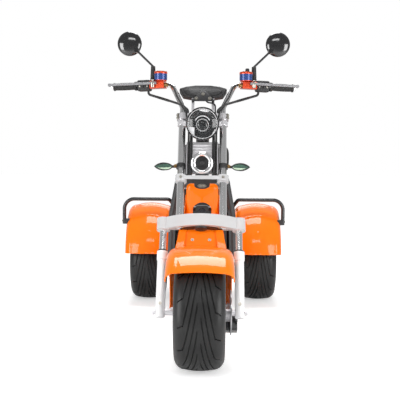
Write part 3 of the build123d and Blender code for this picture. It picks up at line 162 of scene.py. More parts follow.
class Shape:
    """Faces of one piece, added form by form."""

    def __init__(self):
        self.bm = bmesh.new()

    def rings(self, rings, closed=False):
        """Skin over rings of points that have the same number of points or one point."""
        made = [[self.bm.verts.new(p) for p in ring] for ring in rings]
        pairs = list(zip(made, made[1:]))
        if closed:
            pairs.append((made[-1], made[0]))
        for a, b in pairs:
            count = max(len(a), len(b))
            for i in range(count):
                j = (i + 1) % count
                corners = [a[i % len(a)], a[j % len(a)], b[j % len(b)], b[i % len(b)]]
                corners = list(dict.fromkeys(corners))
                if len(corners) > 2:
                    self.bm.faces.new(corners)
        if not closed:
            for ring in (made[0], made[-1]):
                if len(ring) > 2:
                    self.bm.faces.new(ring)
        return self

    def lathe(self, profile, place, steps=48, closed=False):
        """Turned form from (radius, height) pairs about the placement's Z axis."""
        rings = []
        for radius, height in profile:
            if radius < 1e-6:
                rings.append([place @ Vector((0, 0, height))])
                continue
            rings.append([place @ Vector((radius * cos(a), radius * sin(a), height)) for a in turns(steps)])
        return self.rings(rings, closed=closed)

    def tube(self, points, radius, steps=12, closed=False):
        """Round bar along points; radius is one number or one for each point."""
        points = [Vector(p) for p in points]
        count = len(points)
        radii = radius if isinstance(radius, list) else [radius] * count
        side = None
        rings = []
        for i, point in enumerate(points):
            ahead = points[(i + 1) % count] if closed or i + 1 < count else point
            behind = points[i - 1] if closed or i else point
            along = (ahead - behind).normalized()
            if side is None:
                side = along.orthogonal().normalized()
            side = (side - along * side.dot(along)).normalized()
            other = along.cross(side)
            rings.append([point + (side * cos(a) + other * sin(a)) * radii[i] for a in turns(steps)])
        return self.rings(rings, closed=closed)

    def prism(self, outline, depth, place, bevel=0.0, segments=2):
        """Plate from an outline in the placement's XY plane, raised along Z, with rounded edges."""
        low = [self.bm.verts.new(place @ Vector((x, y, 0))) for x, y in outline]
        high = [self.bm.verts.new(place @ Vector((x, y, depth))) for x, y in outline]
        faces = [self.bm.faces.new(low), self.bm.faces.new(high)]
        count = len(outline)
        for i in range(count):
            j = (i + 1) % count
            faces.append(self.bm.faces.new((low[i], low[j], high[j], high[i])))
        if bevel:
            edges = list({e for f in faces for e in f.edges})
            bmesh.ops.bevel(
                self.bm, geom=edges, offset=bevel, segments=segments, profile=BEVEL_PROFILE, affect="EDGES",
                clamp_overlap=True)
        return self

    def block(self, size, place, bevel):
        """Rounded block standing on the placement's XY plane."""
        return self.prism(oblong(size[0] / 2, size[1] / 2), size[2], place, bevel)

    def bolt(self, origin, direction, radius=0.006, height=0.005):
        """Hexagon head on a washer, with a chamfered top and a centre dimple."""
        place = facing(origin, direction)
        washer, seat = radius * 1.55, height * 0.25
        self.lathe([(0, 0), (washer, 0), (washer, seat), (0, seat)], place, 20)
        profile = [(0, 0), (radius, 0), (radius, height * 0.8), (radius * 0.84, height)]
        return self.lathe(profile + [(radius * 0.4, height), (0, height * 0.7)], place, 6)

    def ring(self, radius, wire, place, steps=48, sides=10):
        """Round wire bent into a circle in the placement's XY plane."""
        points = [place @ Vector((radius * cos(a), radius * sin(a), 0)) for a in turns(steps)]
        return self.tube(points, wire, sides, closed=True)

    def object(self, name):
        """Blender object of the faces."""
        bmesh.ops.recalc_face_normals(self.bm, faces=self.bm.faces)
        mesh = bpy.data.meshes.new(name)
        self.bm.to_mesh(mesh)
        self.bm.free()
        made = bpy.data.objects.new(name, mesh)
        bpy.context.scene.collection.objects.link(made)
        return made

    def piece(self, name, slot, body="steering", crease=35, replaces=(), material=None):
        """Object riding on a body, in its slot's material or its own, shaded smooth up to a crease angle."""
        made = self.object(name)
        made.data.shade_smooth()
        made.data.set_sharp_from_angle(angle=radians(crease))
        return dress(made, material or MATERIALS[slot], body, replaces)


def shapes(count):
    return [Shape() for _ in range(count)]


def dress(piece, material, body, replaces=()):
    """Gives a new piece its material and body, and hides the parts it replaces."""
    piece.data.materials.clear()
    piece.data.materials.append(material)
    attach(piece, body)
    if replaces:
        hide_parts(*replaces)
    return piece


def arc(radius, start, end, steps):
    """Points of an arc in a plane, with angles in degrees."""
    angles = [radians(start + (end - start) * i / steps) for i in range(steps + 1)]
    return [(radius * cos(a), radius * sin(a)) for a in angles]


def smooth_line(points, steps=8):
    """Points of a smooth curve through given points, by Catmull-Rom spans."""
    points = [Vector(p) for p in points]
    ends = [points[0] * 2 - points[1]] + points + [points[-1] * 2 - points[-2]]
    line = []
    for p0, p1, p2, p3 in zip(ends, ends[1:], ends[2:], ends[3:]):
        for i in range(steps):
            t = i / steps
            line.append(0.5 * (
                2 * p1 + (p2 - p0) * t + (2 * p0 - 5 * p1 + 4 * p2 - p3) * t * t
                + (3 * p1 - p0 - 3 * p2 + p3) * t ** 3))
    return line + [points[-1]]


# Materials

DRIFT_FROM, DRIFT_TO = 0.3, 0.7
BRUSHED = (0.06, 1.0, 1.0)
BUMP_STRENGTH = 0.8


def add_node(tree, kind, inputs=(), **settings):
    """New node with some of its settings and inputs given."""
    node = tree.nodes.new(kind)
    for name, value in settings.items():
        setattr(node, name, value)
    for socket, value in inputs:
        node.inputs[socket].default_value = value
    return node


def new_material(name, inputs):
    """Material, its node tree and its shader, with some of the shader's inputs given."""
    material = bpy.data.materials.new(name)
    material.use_nodes = True
    shader = material.node_tree.nodes["Principled BSDF"]
    for socket, value in inputs:
        shader.inputs[socket].default_value = value
    return material, material.node_tree, shader


def surface(name, colour, other, roughness, metallic=0.0, patch=7.0, grain=None, sockets=()):
    """Procedural surface: two colours and a range of roughness drift over it, and a grain stands in relief.

    grain is (kind, cells per metre, height in metres); kind is noise, cells or lines.
    """
    material, tree, shader = new_material(name, (("Metallic", metallic), *sockets))
    link = tree.links.new
    place = add_node(tree, "ShaderNodeTexCoord").outputs["Object"]

    drift = add_node(tree, "ShaderNodeTexNoise", (("Scale", patch), ("Detail", 5.0)))
    spread = add_node(tree, "ShaderNodeMapRange", (("From Min", DRIFT_FROM), ("From Max", DRIFT_TO)))
    mix = add_node(tree, "ShaderNodeMix", (("A", (*other, 1)), ("B", (*colour, 1))), data_type="RGBA")
    link(place, drift.inputs["Vector"])
    link(drift.outputs["Fac"], spread.inputs["Value"])
    link(spread.outputs["Result"], mix.inputs["Factor"])
    link(mix.outputs["Result"], shader.inputs["Base Color"])

    fine = add_node(tree, "ShaderNodeTexNoise", (("Scale", patch * 6), ("Detail", 6.0)))
    rough = add_node(tree, "ShaderNodeMapRange", (("To Min", roughness[0]), ("To Max", roughness[1])))
    link(place, fine.inputs["Vector"])
    link(fine.outputs["Fac"], rough.inputs["Value"])
    link(rough.outputs["Result"], shader.inputs["Roughness"])
    if grain:
        link(relief(tree, place, *grain), shader.inputs["Normal"])
    return material


def relief(tree, place, kind, cells, height):
    """Bumped normal from a fine texture."""
    link = tree.links.new
    if kind == "cells":
        texture = add_node(tree, "ShaderNodeTexVoronoi", (("Scale", cells),), feature="DISTANCE_TO_EDGE")
        output = texture.outputs["Distance"]
    else:
        texture = add_node(tree, "ShaderNodeTexNoise", (("Scale", cells), ("Detail", 3.0)))
        output = texture.outputs["Fac"]
    if kind == "lines":
        stretch = add_node(tree, "ShaderNodeMapping", (("Scale", BRUSHED),))
        link(place, stretch.inputs["Vector"])
        place = stretch.outputs["Vector"]
    link(place, texture.inputs["Vector"])
    bump = add_node(tree, "ShaderNodeBump", (("Distance", height), ("Strength", BUMP_STRENGTH)))
    link(output, bump.inputs["Height"])
    return bump.outputs["Normal"]


def coat(weight, roughness=0.03):
    """Shader inputs of a clear coat."""
    return ("Coat Weight", weight), ("Coat Roughness", roughness)


LACQUER = coat(1.0)
MATERIALS = {
    "orange": surface(
        "orange_paint", (0.97, 0.190, 0.004), (0.92, 0.168, 0.003), (0.30, 0.38), patch=3.0,
        grain=("noise", 260.0, 0.00004),
        sockets=LACQUER + (("Coat IOR", 1.34), ("Specular IOR Level", 0.05))),
    "chrome": surface("chrome", (0.88, 0.88, 0.88), (0.83, 0.83, 0.84), (0.165, 0.185), 1.0, 2.0),
    "silver": surface(
        "silver_paint", (0.87, 0.87, 0.87), (0.80, 0.80, 0.805), (0.28, 0.40), 0.0, 9.0,
        grain=("noise", 900.0, 0.00003), sockets=coat(0.5, 0.12)),
    "alloy": surface(
        "alloy", (0.74, 0.73, 0.75), (0.66, 0.65, 0.67), (0.28, 0.40), 0.55, 15.0,
        grain=("noise", 700.0, 0.00002)),
    "black_steel": surface(
        "black_steel", (0.022, 0.022, 0.024), (0.014, 0.014, 0.015), (0.25, 0.38), 0.0, 11.0,
        grain=("noise", 500.0, 0.00004), sockets=coat(0.4, 0.2)),
    "black_plastic": surface(
        "black_plastic", (0.022, 0.022, 0.023), (0.014, 0.014, 0.015), (0.42, 0.58), 0.0, 14.0,
        grain=("cells", 1100.0, 0.00009)),
    "black_gloss": surface(
        "black_gloss", (0.010, 0.010, 0.011), (0.007, 0.007, 0.008), (0.10, 0.18), 0.0, 8.0,
        grain=("noise", 300.0, 0.00002), sockets=LACQUER),
    "rubber": surface(
        "rubber", (0.024, 0.024, 0.024), (0.015, 0.015, 0.015), (0.55, 0.75), 0.0, 20.0,
        grain=("noise", 700.0, 0.00012)),
    "tyre": surface(
        "tyre_rubber", (0.016, 0.016, 0.016), (0.010, 0.010, 0.010), (0.34, 0.52), 0.0, 16.0,
        grain=("noise", 520.0, 0.00018), sockets=(("Specular IOR Level", 0.38),)),
    "leather": surface(
        "leather", (0.022, 0.021, 0.021), (0.012, 0.012, 0.012), (0.34, 0.52), 0.0, 10.0,
        grain=("cells", 330.0, 0.00045)),
    "disc_steel": surface(
        "disc_steel", (0.55, 0.55, 0.56), (0.42, 0.42, 0.43), (0.22, 0.38), 1.0, 30.0,
        grain=("lines", 1200.0, 0.00005)),
    "lamp_glass": surface(
        "lamp_glass", (0.050, 0.053, 0.056), (0.040, 0.042, 0.045), (0.01, 0.04), 0.0, 10.0,
        sockets=(("Alpha", 0.16), ("IOR", 1.5))),
    "mirror": surface("mirror_glass", (0.86, 0.87, 0.88), (0.82, 0.83, 0.85), (0.01, 0.03), 1.0, 10.0),
    "red_alloy": surface(
        "red_anodised", (0.72, 0.075, 0.018), (0.60, 0.055, 0.014), (0.24, 0.36), 0.55, 25.0,
        grain=("noise", 1200.0, 0.00005), sockets=coat(0.3)),
    "blue_cup": surface(
        "blue_cup", (0.030, 0.075, 0.27), (0.020, 0.050, 0.19), (0.20, 0.32), 0.2, 25.0,
        grain=("noise", 900.0, 0.00003)),
    "blinker_lens": surface(
        "blinker_lens", (0.085, 0.19, 0.135), (0.055, 0.13, 0.095), (0.05, 0.12), 0.0, 40.0,
        grain=("cells", 260.0, 0.0006), sockets=LACQUER + (("Transmission Weight", 0.35),)),
    "amber": surface(
        "amber_lens", (0.85, 0.27, 0.015), (0.70, 0.20, 0.01), (0.08, 0.16), 0.0, 40.0,
        grain=("cells", 260.0, 0.0005), sockets=LACQUER + (("Transmission Weight", 0.25),)),
    "red_lens": surface(
        "red_lens", (0.52, 0.012, 0.012), (0.40, 0.008, 0.008), (0.08, 0.16), 0.0, 40.0,
        grain=("cells", 230.0, 0.0006), sockets=LACQUER + (("Transmission Weight", 0.25),)),
}
ZINC = surface("zinc_bolts", (0.50, 0.48, 0.43), (0.38, 0.36, 0.32), (0.22, 0.38), 1.0, 60.0)
BRASS = surface("brass_bolts", (0.40, 0.25, 0.11), (0.28, 0.17, 0.07), (0.28, 0.45), 1.0, 60.0)
DARK_CHROME = surface("dark_reflector", (0.16, 0.16, 0.17), (0.10, 0.10, 0.11), (0.10, 0.22), 1.0, 20.0)
# Pale colour that glows a little: painted reflection on the headlight's reflector, and a glowing light guide arc.
PAINTED_REFLECTION_GLOW = surface(
    "guide_glow_and_painted_reflection", (0.90, 0.91, 0.93), (0.82, 0.84, 0.87), (0.15, 0.25), 0.0, 30.0,
    sockets=(("Emission Color", (1.0, 1.0, 1.0, 1.0)), ("Emission Strength", 0.35)))
PALE_GREEN = surface(
    "pale_green_lens", (0.52, 0.66, 0.50), (0.40, 0.54, 0.40), (0.06, 0.14), 0.0, 40.0,
    grain=("cells", 260.0, 0.0005), sockets=LACQUER)
SCREEN = surface(
    "dark_screen", (0.006, 0.007, 0.008), (0.004, 0.004, 0.005), (0.05, 0.10), 0.0, 9.0, sockets=LACQUER)
MARKS = surface("pale_marks", (0.70, 0.72, 0.74), (0.60, 0.62, 0.64), (0.4, 0.5), 0.0, 30.0)
# Pale, hardly metallic colour that stays bright: painted reflection on the headlight's chrome lines.
CHROME_LINE_PAINTED_SHINE = surface("chrome_line_painted_shine", (0.80, 0.80, 0.81), (0.72, 0.72, 0.73), (0.15, 0.25), 0.2, 30.0)
STITCH = surface(
    "seat_thread", (0.16, 0.15, 0.145), (0.10, 0.10, 0.095), (0.6, 0.75), 0.0, 90.0,
    grain=("noise", 2500.0, 0.0001))
# Darker copy of the legs' silver paint: painted shade on the yoke and the lower clamp.
SILVER_PAINTED_SHADE = surface(
    "silver_paint_painted_shade", (0.54, 0.54, 0.545), (0.50, 0.50, 0.505), (0.32, 0.42), 0.0, 9.0,
    grain=("noise", 900.0, 0.00003), sockets=coat(0.3, 0.15))
LEVER_SATIN = surface(
    "lever_satin", (0.27, 0.27, 0.28), (0.22, 0.22, 0.23), (0.40, 0.55), 0.1, 20.0,
    grain=("noise", 900.0, 0.00002))
OWN_LOOKS = {"wide_yoke": SILVER_PAINTED_SHADE, "lower_clamp": SILVER_PAINTED_SHADE, "brake_levers": LEVER_SATIN}


def finish_nodes():
    """Every carried-over solid gets its own look or the material of its slot in the record."""
    for part in frame["record"]["subparts"]:
        node = NODES[part["node"]]
        node.data.materials.clear()
        node.data.materials.append(OWN_LOOKS.get(part["node"], MATERIALS[part["material_slot"]]))


finish_nodes()


SMOOTH_ANGLE = radians(32)
MERGE_DISTANCE = 0.00001


def smooth_by_angle():
    """Node tree that rounds the shading of facets, except over sharp edges."""
    tree = bpy.data.node_groups.new("smooth_by_angle", "GeometryNodeTree")
    for way in ("INPUT", "OUTPUT"):
        tree.interface.new_socket("Geometry", in_out=way, socket_type="NodeSocketGeometry")
    link = tree.links.new
    edge = add_node(tree, "GeometryNodeInputMeshEdgeAngle")
    steep = add_node(tree, "FunctionNodeCompare", (("B", SMOOTH_ANGLE),), operation="GREATER_THAN")
    chain = [
        add_node(tree, "GeometryNodeRemoveAttribute", (("Name", "custom_normal"),)),
        add_node(tree, "GeometryNodeMergeByDistance", (("Distance", MERGE_DISTANCE),)),
        add_node(tree, "GeometryNodeSetShadeSmooth"),
        add_node(tree, "GeometryNodeSetShadeSmooth", (("Shade Smooth", False),), domain="EDGE"),
    ]
    link(edge.outputs["Unsigned Angle"], steep.inputs["A"])
    link(steep.outputs["Result"], chain[-1].inputs["Selection"])
    output = add_node(tree, "NodeGroupInput").outputs["Geometry"]
    for node in chain:
        link(output, node.inputs["Geometry"])
        output = node.outputs["Geometry"]
    link(output, add_node(tree, "NodeGroupOutput").inputs["Geometry"])
    return tree


def smooth_nodes():
    tree = smooth_by_angle()
    for node in NODES.values():
        node.modifiers.new("smooth", "NODES").node_group = tree


smooth_nodes()


# Stage: pale floor, bright backdrop and soft lamps

FLOOR_HALF = 25.0
FLOOR_T = 0.01
FLOOR_Z = -0.0006
FLOOR_GREY = 0.94
FLOOR_LIFT = 0.60
NEAR_LIFT = 0.43
NEAR, FAR = 0.8, 3.2
DIFFUSE_SKY = 0.45
FRONT_SKY = 0.34
REAR_SKY = 0.60
REAR_SKY_FROM = 0.75
WHITE = (1, 1, 1, 1)
LAMPS = (
    # name, place, aim, width, height, watts
    ("top_softbox", (0.0, 0.45, 3.6), (0, -0.3, 0.4), 1.6, 1.5, 82.0),
    ("front_softbox", (0.0, -3.4, 3.0), (0, -0.2, 0.5), 1.8, 0.5, 20.0),
    ("left_softbox", (-2.4, -2.2, 1.0), (0, 0, 0.5), 1.3, 1.6, 52.0),
    ("right_softbox", (2.4, -2.2, 1.0), (0, 0, 0.5), 1.3, 1.6, 52.0),
    ("rear_softbox", (0.0, 3.4, 2.2), (0, 0.3, 0.6), 2.0, 1.2, 14.0),
)


def add_floor():
    """Pale floor that the camera sees a little brighter than the light on it, most so far from the object."""
    floor = Shape().prism(oblong(FLOOR_HALF, FLOOR_HALF), -FLOOR_T, shift(0, 0, FLOOR_Z)).object("floor")
    material, tree, shader = new_material(
        "pale_floor", (("Base Color", (FLOOR_GREY, FLOOR_GREY, FLOOR_GREY, 1)), ("Roughness", 0.9),
        ("Specular IOR Level", 0.1), ("Emission Color", WHITE)))
    link = tree.links.new
    place = add_node(tree, "ShaderNodeTexCoord")
    path = add_node(tree, "ShaderNodeLightPath")
    reach = add_node(tree, "ShaderNodeVectorMath", operation="LENGTH")
    fade = add_node(tree, "ShaderNodeMapRange", (
        ("From Min", NEAR), ("From Max", FAR), ("To Min", NEAR_LIFT), ("To Max", FLOOR_LIFT)))
    lift = add_node(tree, "ShaderNodeMath", operation="MULTIPLY")
    link(place.outputs["Object"], reach.inputs[0])
    link(reach.outputs["Value"], fade.inputs["Value"])
    link(path.outputs["Is Camera Ray"], lift.inputs[0])
    link(fade.outputs["Result"], lift.inputs[1])
    link(lift.outputs[0], shader.inputs["Emission Strength"])
    floor.data.materials.append(material)


def add_world():
    """White to the camera and through glass, brighter behind the object than in front in reflections."""
    world = bpy.data.worlds.new("studio")
    bpy.context.scene.world = world
    world.use_nodes = True
    tree = world.node_tree
    link = tree.links.new
    path = add_node(tree, "ShaderNodeLightPath")
    place = add_node(tree, "ShaderNodeTexCoord")
    direction = add_node(tree, "ShaderNodeSeparateXYZ")
    front = add_node(tree, "ShaderNodeMapRange", (
        ("From Min", 0.0), ("From Max", REAR_SKY_FROM), ("To Min", FRONT_SKY), ("To Max", REAR_SKY)),
        interpolation_type="SMOOTHSTEP")
    link(place.outputs["Generated"], direction.inputs[0])
    link(direction.outputs["Y"], front.inputs["Value"])

    def blend(ray, other, seen):
        """Level for one kind of ray, and another level for the other rays."""
        mix = add_node(tree, "ShaderNodeMix")
        link(path.outputs[ray], mix.inputs["Factor"])
        for socket, value in (("A", other), ("B", seen)):
            if isinstance(value, float):
                mix.inputs[socket].default_value = value
            else:
                link(value, mix.inputs[socket])
        return mix.outputs["Result"]

    level = blend("Is Glossy Ray", DIFFUSE_SKY, front.outputs["Result"])
    level = blend("Is Transmission Ray", level, 1.0)
    level = blend("Is Camera Ray", level, 1.0)
    background = tree.nodes["Background"]
    link(level, background.inputs["Strength"])
    background.inputs["Color"].default_value = WHITE


def add_lamps():
    for name, place, aim, width, height, watts in LAMPS:
        lamp = bpy.data.objects.new(name, bpy.data.lights.new(name, "AREA"))
        lamp.data.shape = "RECTANGLE"
        lamp.data.size = width
        lamp.data.size_y = height
        lamp.data.energy = watts
        lamp.location = place
        lamp.rotation_euler = (Vector(aim) - Vector(place)).to_track_quat("-Z", "Y").to_euler()
        bpy.context.scene.collection.objects.link(lamp)


bpy.context.scene.view_settings.view_transform = "Standard"
add_floor()
add_world()
add_lamps()


# Tyres with cut grooves

TYRE_SHOULDER = 0.046
TYRE_CROWN = 0.005
TYRE_BULGE = 0.006
RIM_SEAT_R = 0.131
RIM_SEAT_HALF = 0.075
PITCHES = 14
GROOVE_W = 0.0052
GROOVE_DEPTH = 0.0055
GROOVE_IN = 0.007
GROOVE_BEND = 0.061
GROOVE_OUT = 0.080
GROOVE_SWEEP = radians(70)
HOOK_TURN = radians(3)
STEADY_FROM = 0.092
WALL_RIB = 0.0022
WALL_RIB_STEPS = (3, 8)


def tread_radius(v):
    """Radius of the tread at a distance from the tyre's middle."""
    flat = TYRE_HALF - TYRE_SHOULDER
    if v <= flat:
        return TYRE_R - TYRE_CROWN * (v / flat) ** 2
    edge = TYRE_R - TYRE_CROWN - TYRE_SHOULDER
    return edge + sqrt(max(TYRE_SHOULDER ** 2 - (v - flat) ** 2, 0))


def groove_turn(v):
    """Turn of the groove's line round the tyre, from its outer hook to the middle."""
    if v >= GROOVE_BEND:
        return -HOOK_TURN * (v - GROOVE_BEND) / (GROOVE_OUT - GROOVE_BEND)
    t = (GROOVE_BEND - v) / (GROOVE_BEND - GROOVE_IN)
    return GROOVE_SWEEP * (0.78 * t + 0.22 * t * t)


def groove_half_turn(v):
    """Half the groove's width, as a turn round the tyre."""
    step = 0.0005
    slope = abs(groove_turn(v + step) - groove_turn(v - step)) / (2 * step) * TYRE_R
    return GROOVE_W / 2 * hypot(1, slope) / TYRE_R


def tread_stations():
    """Distances from the tyre's middle at which the tread has points."""
    inner = [0.0, 0.0035, GROOVE_IN - 0.0008, GROOVE_IN + 0.0008]
    count = 22
    sloped = [GROOVE_IN + 0.003 + (GROOVE_BEND - GROOVE_IN - 0.004) * i / count for i in range(count + 1)]
    hook = [GROOVE_BEND + 0.001 + (GROOVE_OUT - GROOVE_BEND - 0.001) * i / 7 for i in range(8)]
    outer = [GROOVE_OUT + 0.0012, 0.086, 0.0905, 0.0945, 0.0975, 0.0992]
    return inner + sloped + hook + outer


def wall_profile():
    """Sidewall from the shoulder to the rim seat, with a raised rib: (distance from the middle, radius)."""
    wall = TYRE_R - TYRE_CROWN - TYRE_SHOULDER
    points = [(TYRE_HALF, wall)]
    count = 10
    for i in range(1, count + 1):
        t = i / count
        bulge = 4 * t * (1 - t) * TYRE_BULGE
        rib = WALL_RIB if i in WALL_RIB_STEPS else 0.0
        out = TYRE_HALF + (RIM_SEAT_HALF - TYRE_HALF) * t + bulge + rib
        points.append((out, wall + (RIM_SEAT_R - wall) * t))
    return points


def tyre_rings(centre):
    """Rings of points from one rim seat over the tread to the other."""
    stations = tread_stations()
    lateral = [(-x, r, False) for x, r in reversed(wall_profile())]
    lateral += [(-v, tread_radius(v), True) for v in reversed(stations)]
    lateral += [(v, tread_radius(v), True) for v in stations[1:]]
    lateral += [(x, r, False) for x, r in wall_profile()]
    pitch = tau / PITCHES
    gap_steps = 3
    rings = []
    for x, radius, tread in lateral:
        v = abs(x)
        half = groove_half_turn(v) if tread else groove_half_turn(GROOVE_OUT)
        turn = groove_turn(min(v, STEADY_FROM))
        cut = tread and GROOVE_IN <= v <= GROOVE_OUT
        ring = []
        for k in range(2 * PITCHES):
            start = k * pitch / 2
            own = (k % 2 == 0) == (x < 0)
            depth = GROOVE_DEPTH if cut and own else 0.0
            for share, low in ((-1.0, 0), (-0.55, 1), (0.55, 1), (1.0, 0)):
                ring.append(tyre_point(centre, x, radius - low * depth, start + share * half - turn))
            for i in range(gap_steps):
                share = (i + 1) / (gap_steps + 1)
                angle = start + half + (pitch / 2 - 2 * half) * share
                ring.append(tyre_point(centre, x, radius, angle - turn))
        rings.append(ring)
    return rings


def tyre_point(centre, x, radius, angle):
    return centre + Vector((x, radius * cos(angle), radius * sin(angle)))


def add_tyres():
    for node in ("front_tyre", "rear_tyre_left", "rear_tyre_right"):
        shape = Shape().rings(tyre_rings(middle(node)), closed=True)
        shape.piece(node + "_tread", "tyre", node.replace("tyre", "wheel"), crease=38, replaces=(node,))


add_tyres()


# Headlight: bucket, chrome line, finned reflector, projector, a light guide arc and pale panels that glow as
# painted reflections

LAMP_FRONT = Vector((0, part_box("headlight_shell")[0].y, middle("headlight_shell").z))
LAMP_R = half_size("headlight_shell").x
LAMP_DEPTH = 2 * half_size("headlight_shell").y
LAMP_PLACE = facing(LAMP_FRONT, -BACKWARD)
PROJECTOR_PLACE = LAMP_PLACE @ shift(0, -0.006, 0)
PAINTED_REFLECTION_PANELS = (
    # outer arc from and to in degrees, inner corners: pale glowing panels of painted reflection at lower left,
    # lower right and top
    (194, 236, [(-0.036, -0.052), (-0.036, -0.016)]),
    (-47, -24, [(0.056, -0.024), (0.043, -0.044)]),
    (62, 104, [(-0.012, 0.056), (0.022, 0.051)]),
)


def on_lamp(radius, angle, height):
    a = radians(angle)
    return LAMP_PLACE @ Vector((radius * cos(a), radius * sin(a), height))


def add_headlight():
    rim = LAMP_R - 0.006
    bucket = Shape()
    bucket.lathe([
        (0, -LAMP_DEPTH), (0.028, -LAMP_DEPTH), (0.050, -0.053), (0.066, -0.038), (LAMP_R, -0.016),
        (LAMP_R, -0.004), (LAMP_R - 0.0015, 0), (rim, 0), (rim - 0.001, -0.003), (rim - 0.001, -0.009),
        (0, -0.050)], LAMP_PLACE, 64)
    bucket.piece("headlight_bucket", "black_gloss", replaces=("headlight_shell",))

    # Chrome lines round the rim and the projector, in a pale colour with painted reflection.
    line = Shape()
    line.lathe([
        (rim - 0.0012, -0.0055), (rim - 0.0012, -0.0015), (rim - 0.0035, -0.0015), (rim - 0.0035, -0.0055)],
        LAMP_PLACE, 64, closed=True)
    line.lathe([
        (0.0245, -0.022), (0.0285, -0.022), (0.0285, -0.011), (0.0245, -0.011)], PROJECTOR_PLACE, 48,
        closed=True)
    line.piece("headlight_chrome_lines", "chrome", material=CHROME_LINE_PAINTED_SHINE)

    bowl = Shape()
    bowl.lathe([
        (rim - 0.0035, -0.006), (rim - 0.007, -0.018), (0.050, -0.030), (0.036, -0.038), (0.0, -0.040),
        (0.0, -0.043), (0.040, -0.041), (rim - 0.002, -0.010)], LAMP_PLACE, 64, closed=True)
    bowl.piece("headlight_reflector", "black_gloss", material=DARK_CHROME)
    fins = Shape()
    for i in range(11):
        angle = 195 + 15 * i
        spine = [on_lamp(r, angle, h) for r, h in ((0.032, -0.030), (0.046, -0.026), (0.0595, -0.015))]
        fins.tube(spine, [0.0018, 0.0016, 0.0010], 6)
    fins.piece("headlight_fins", "alloy")

    # A light guide arc over the projector and pale panels on the reflector, both glowing a little; the panels are
    # painted reflections.
    glowing = Shape()
    glowing.tube([on_lamp(0.0345, a, -0.0125) for a in range(25, 156, 5)], 0.0021, 8)
    for start, end, inner in PAINTED_REFLECTION_PANELS:
        outline = arc(rim - 0.0045, start, end, 8) + inner
        glowing.prism(outline, 0.0012, LAMP_PLACE @ shift(0, 0, -0.0105), 0.0003)
    glowing.piece("headlight_guide_and_painted_reflections", "lamp_glass", material=PAINTED_REFLECTION_GLOW)

    lens = Shape()
    bulge = [(0.0242 * cos(radians(t)), -0.017 + 0.011 * sin(radians(t))) for t in range(0, 90, 10)]
    lens.lathe([(0, -0.017)] + bulge + [(0, -0.006)], PROJECTOR_PLACE, 48)
    lens.piece("headlight_projector", "lamp_glass", material=SCREEN)

    cover = Shape()
    edge = rim - 0.0015
    angles = [radians(t) for t in range(90, -1, -10)]
    dome = [(edge * sin(a), -0.0035 + 0.0085 * cos(a)) for a in angles]
    under = [(r * 0.985, h - 0.0014) for r, h in reversed(dome)]
    cover.lathe(dome + under, LAMP_PLACE, 64, closed=True)
    cover.piece("headlight_cover", "lamp_glass", crease=60, replaces=("headlight_lens",))


add_headlight()


# Horn: chrome ring, ridged black disc and a bare centre cap

HORN_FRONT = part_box("horn")[0].y
HORN_R = half_size("horn").x
HORN_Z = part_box("horn")[1].z - HORN_R
HORN_PLACE = facing(Vector((0, HORN_FRONT, HORN_Z)), -BACKWARD)
HORN_DEPTH = 0.036
HORN_STUB_R = 0.011


def add_horn():
    body = Shape()
    ridges = []
    for i in range(4):
        r = 0.0290 - 0.0048 * i
        ridges += [(r, -0.004), (r - 0.0018, -0.0022), (r - 0.0036, -0.004)]
    body.lathe([
        (0, -HORN_DEPTH), (0.026, -HORN_DEPTH), (HORN_R - 0.004, -0.026), (HORN_R - 0.002, -0.010),
        (0.0305, -0.006)] + ridges + [(0.0095, -0.002), (0.0075, -0.0008), (0, -0.0005)], HORN_PLACE, 56)
    back = HORN_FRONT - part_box("horn")[1].y + 0.004
    front = 0.004 - HORN_DEPTH
    body.lathe([(0, back), (HORN_STUB_R, back), (HORN_STUB_R, front), (0, front)], HORN_PLACE, 24)
    body.piece("horn_body", "black_plastic", crease=30, replaces=("horn",))
    ring = Shape()
    ring.lathe([
        (HORN_R, -0.014), (HORN_R, -0.006), (HORN_R - 0.003, -0.002), (0.041, 0.0), (0.034, -0.0010),
        (0.0305, -0.0035), (0.0295, -0.014)], HORN_PLACE, 56, closed=True)
    ring.piece("horn_ring", "chrome")


add_horn()


# Handlebar controls. Distances run inwards along the bar from its end

BAR_R = 0.0125
BAR_KNEE = from_clamp(0.146, 0.087, 0.1594)
BAR_END = from_clamp(0.425, 0.141, 0.1514)
GRIP_L = 0.116
POD_L = 0.064
POD_GAP = 0.003
MASTER_L = 0.068
MASTER_W = 0.034
MASTER_REACH = 0.040
RESERVOIR_R = 0.031
MASTER_START = GRIP_L + 2 * POD_GAP + POD_L
BAR_IN = (BAR_KNEE - BAR_END).normalized()
BAR_FORWARD = (-BACKWARD + BAR_IN * BACKWARD.dot(BAR_IN)).normalized()
BAR_UP = BAR_IN.cross(BAR_FORWARD)


def on_bar(forward, up, along, side=1):
    """Point beside the bar of one side."""
    return mirrored(BAR_END + BAR_FORWARD * forward + BAR_UP * up + BAR_IN * along, side)


def bar_place(forward, up, along, side, direction):
    """Placement beside the bar, facing a direction given on the left side."""
    return facing(on_bar(forward, up, along, side), mirrored(direction, side))


def add_grips():
    profile = [(BAR_R + 0.0003, 0.0004), (0.0185, 0.0004), (0.0195, 0.003), (0.0185, 0.006)]
    ribs = 17
    first, last = 0.009, 0.100
    for i in range(ribs):
        start = first + (last - first) * i / ribs
        step = (last - first) / ribs
        swell = 0.0162 + 0.0012 * sin(pi * i / ribs)
        profile += [
            (swell, start), (swell + 0.0006, start + step * 0.25), (swell + 0.0006, start + step * 0.6)]
        profile += [(swell, start + step * 0.8)]
    profile += [(0.0165, 0.102), (0.0205, 0.104), (0.0215, 0.109), (0.0205, 0.1155), (BAR_R + 0.0003, 0.1158)]
    shape = Shape()
    for side in SIDES:
        shape.lathe(profile, bar_place(0, 0, 0, side, BAR_IN), 40, closed=True)
    shape.piece("grip_rubbers", "rubber", crease=40, replaces=("grips",))


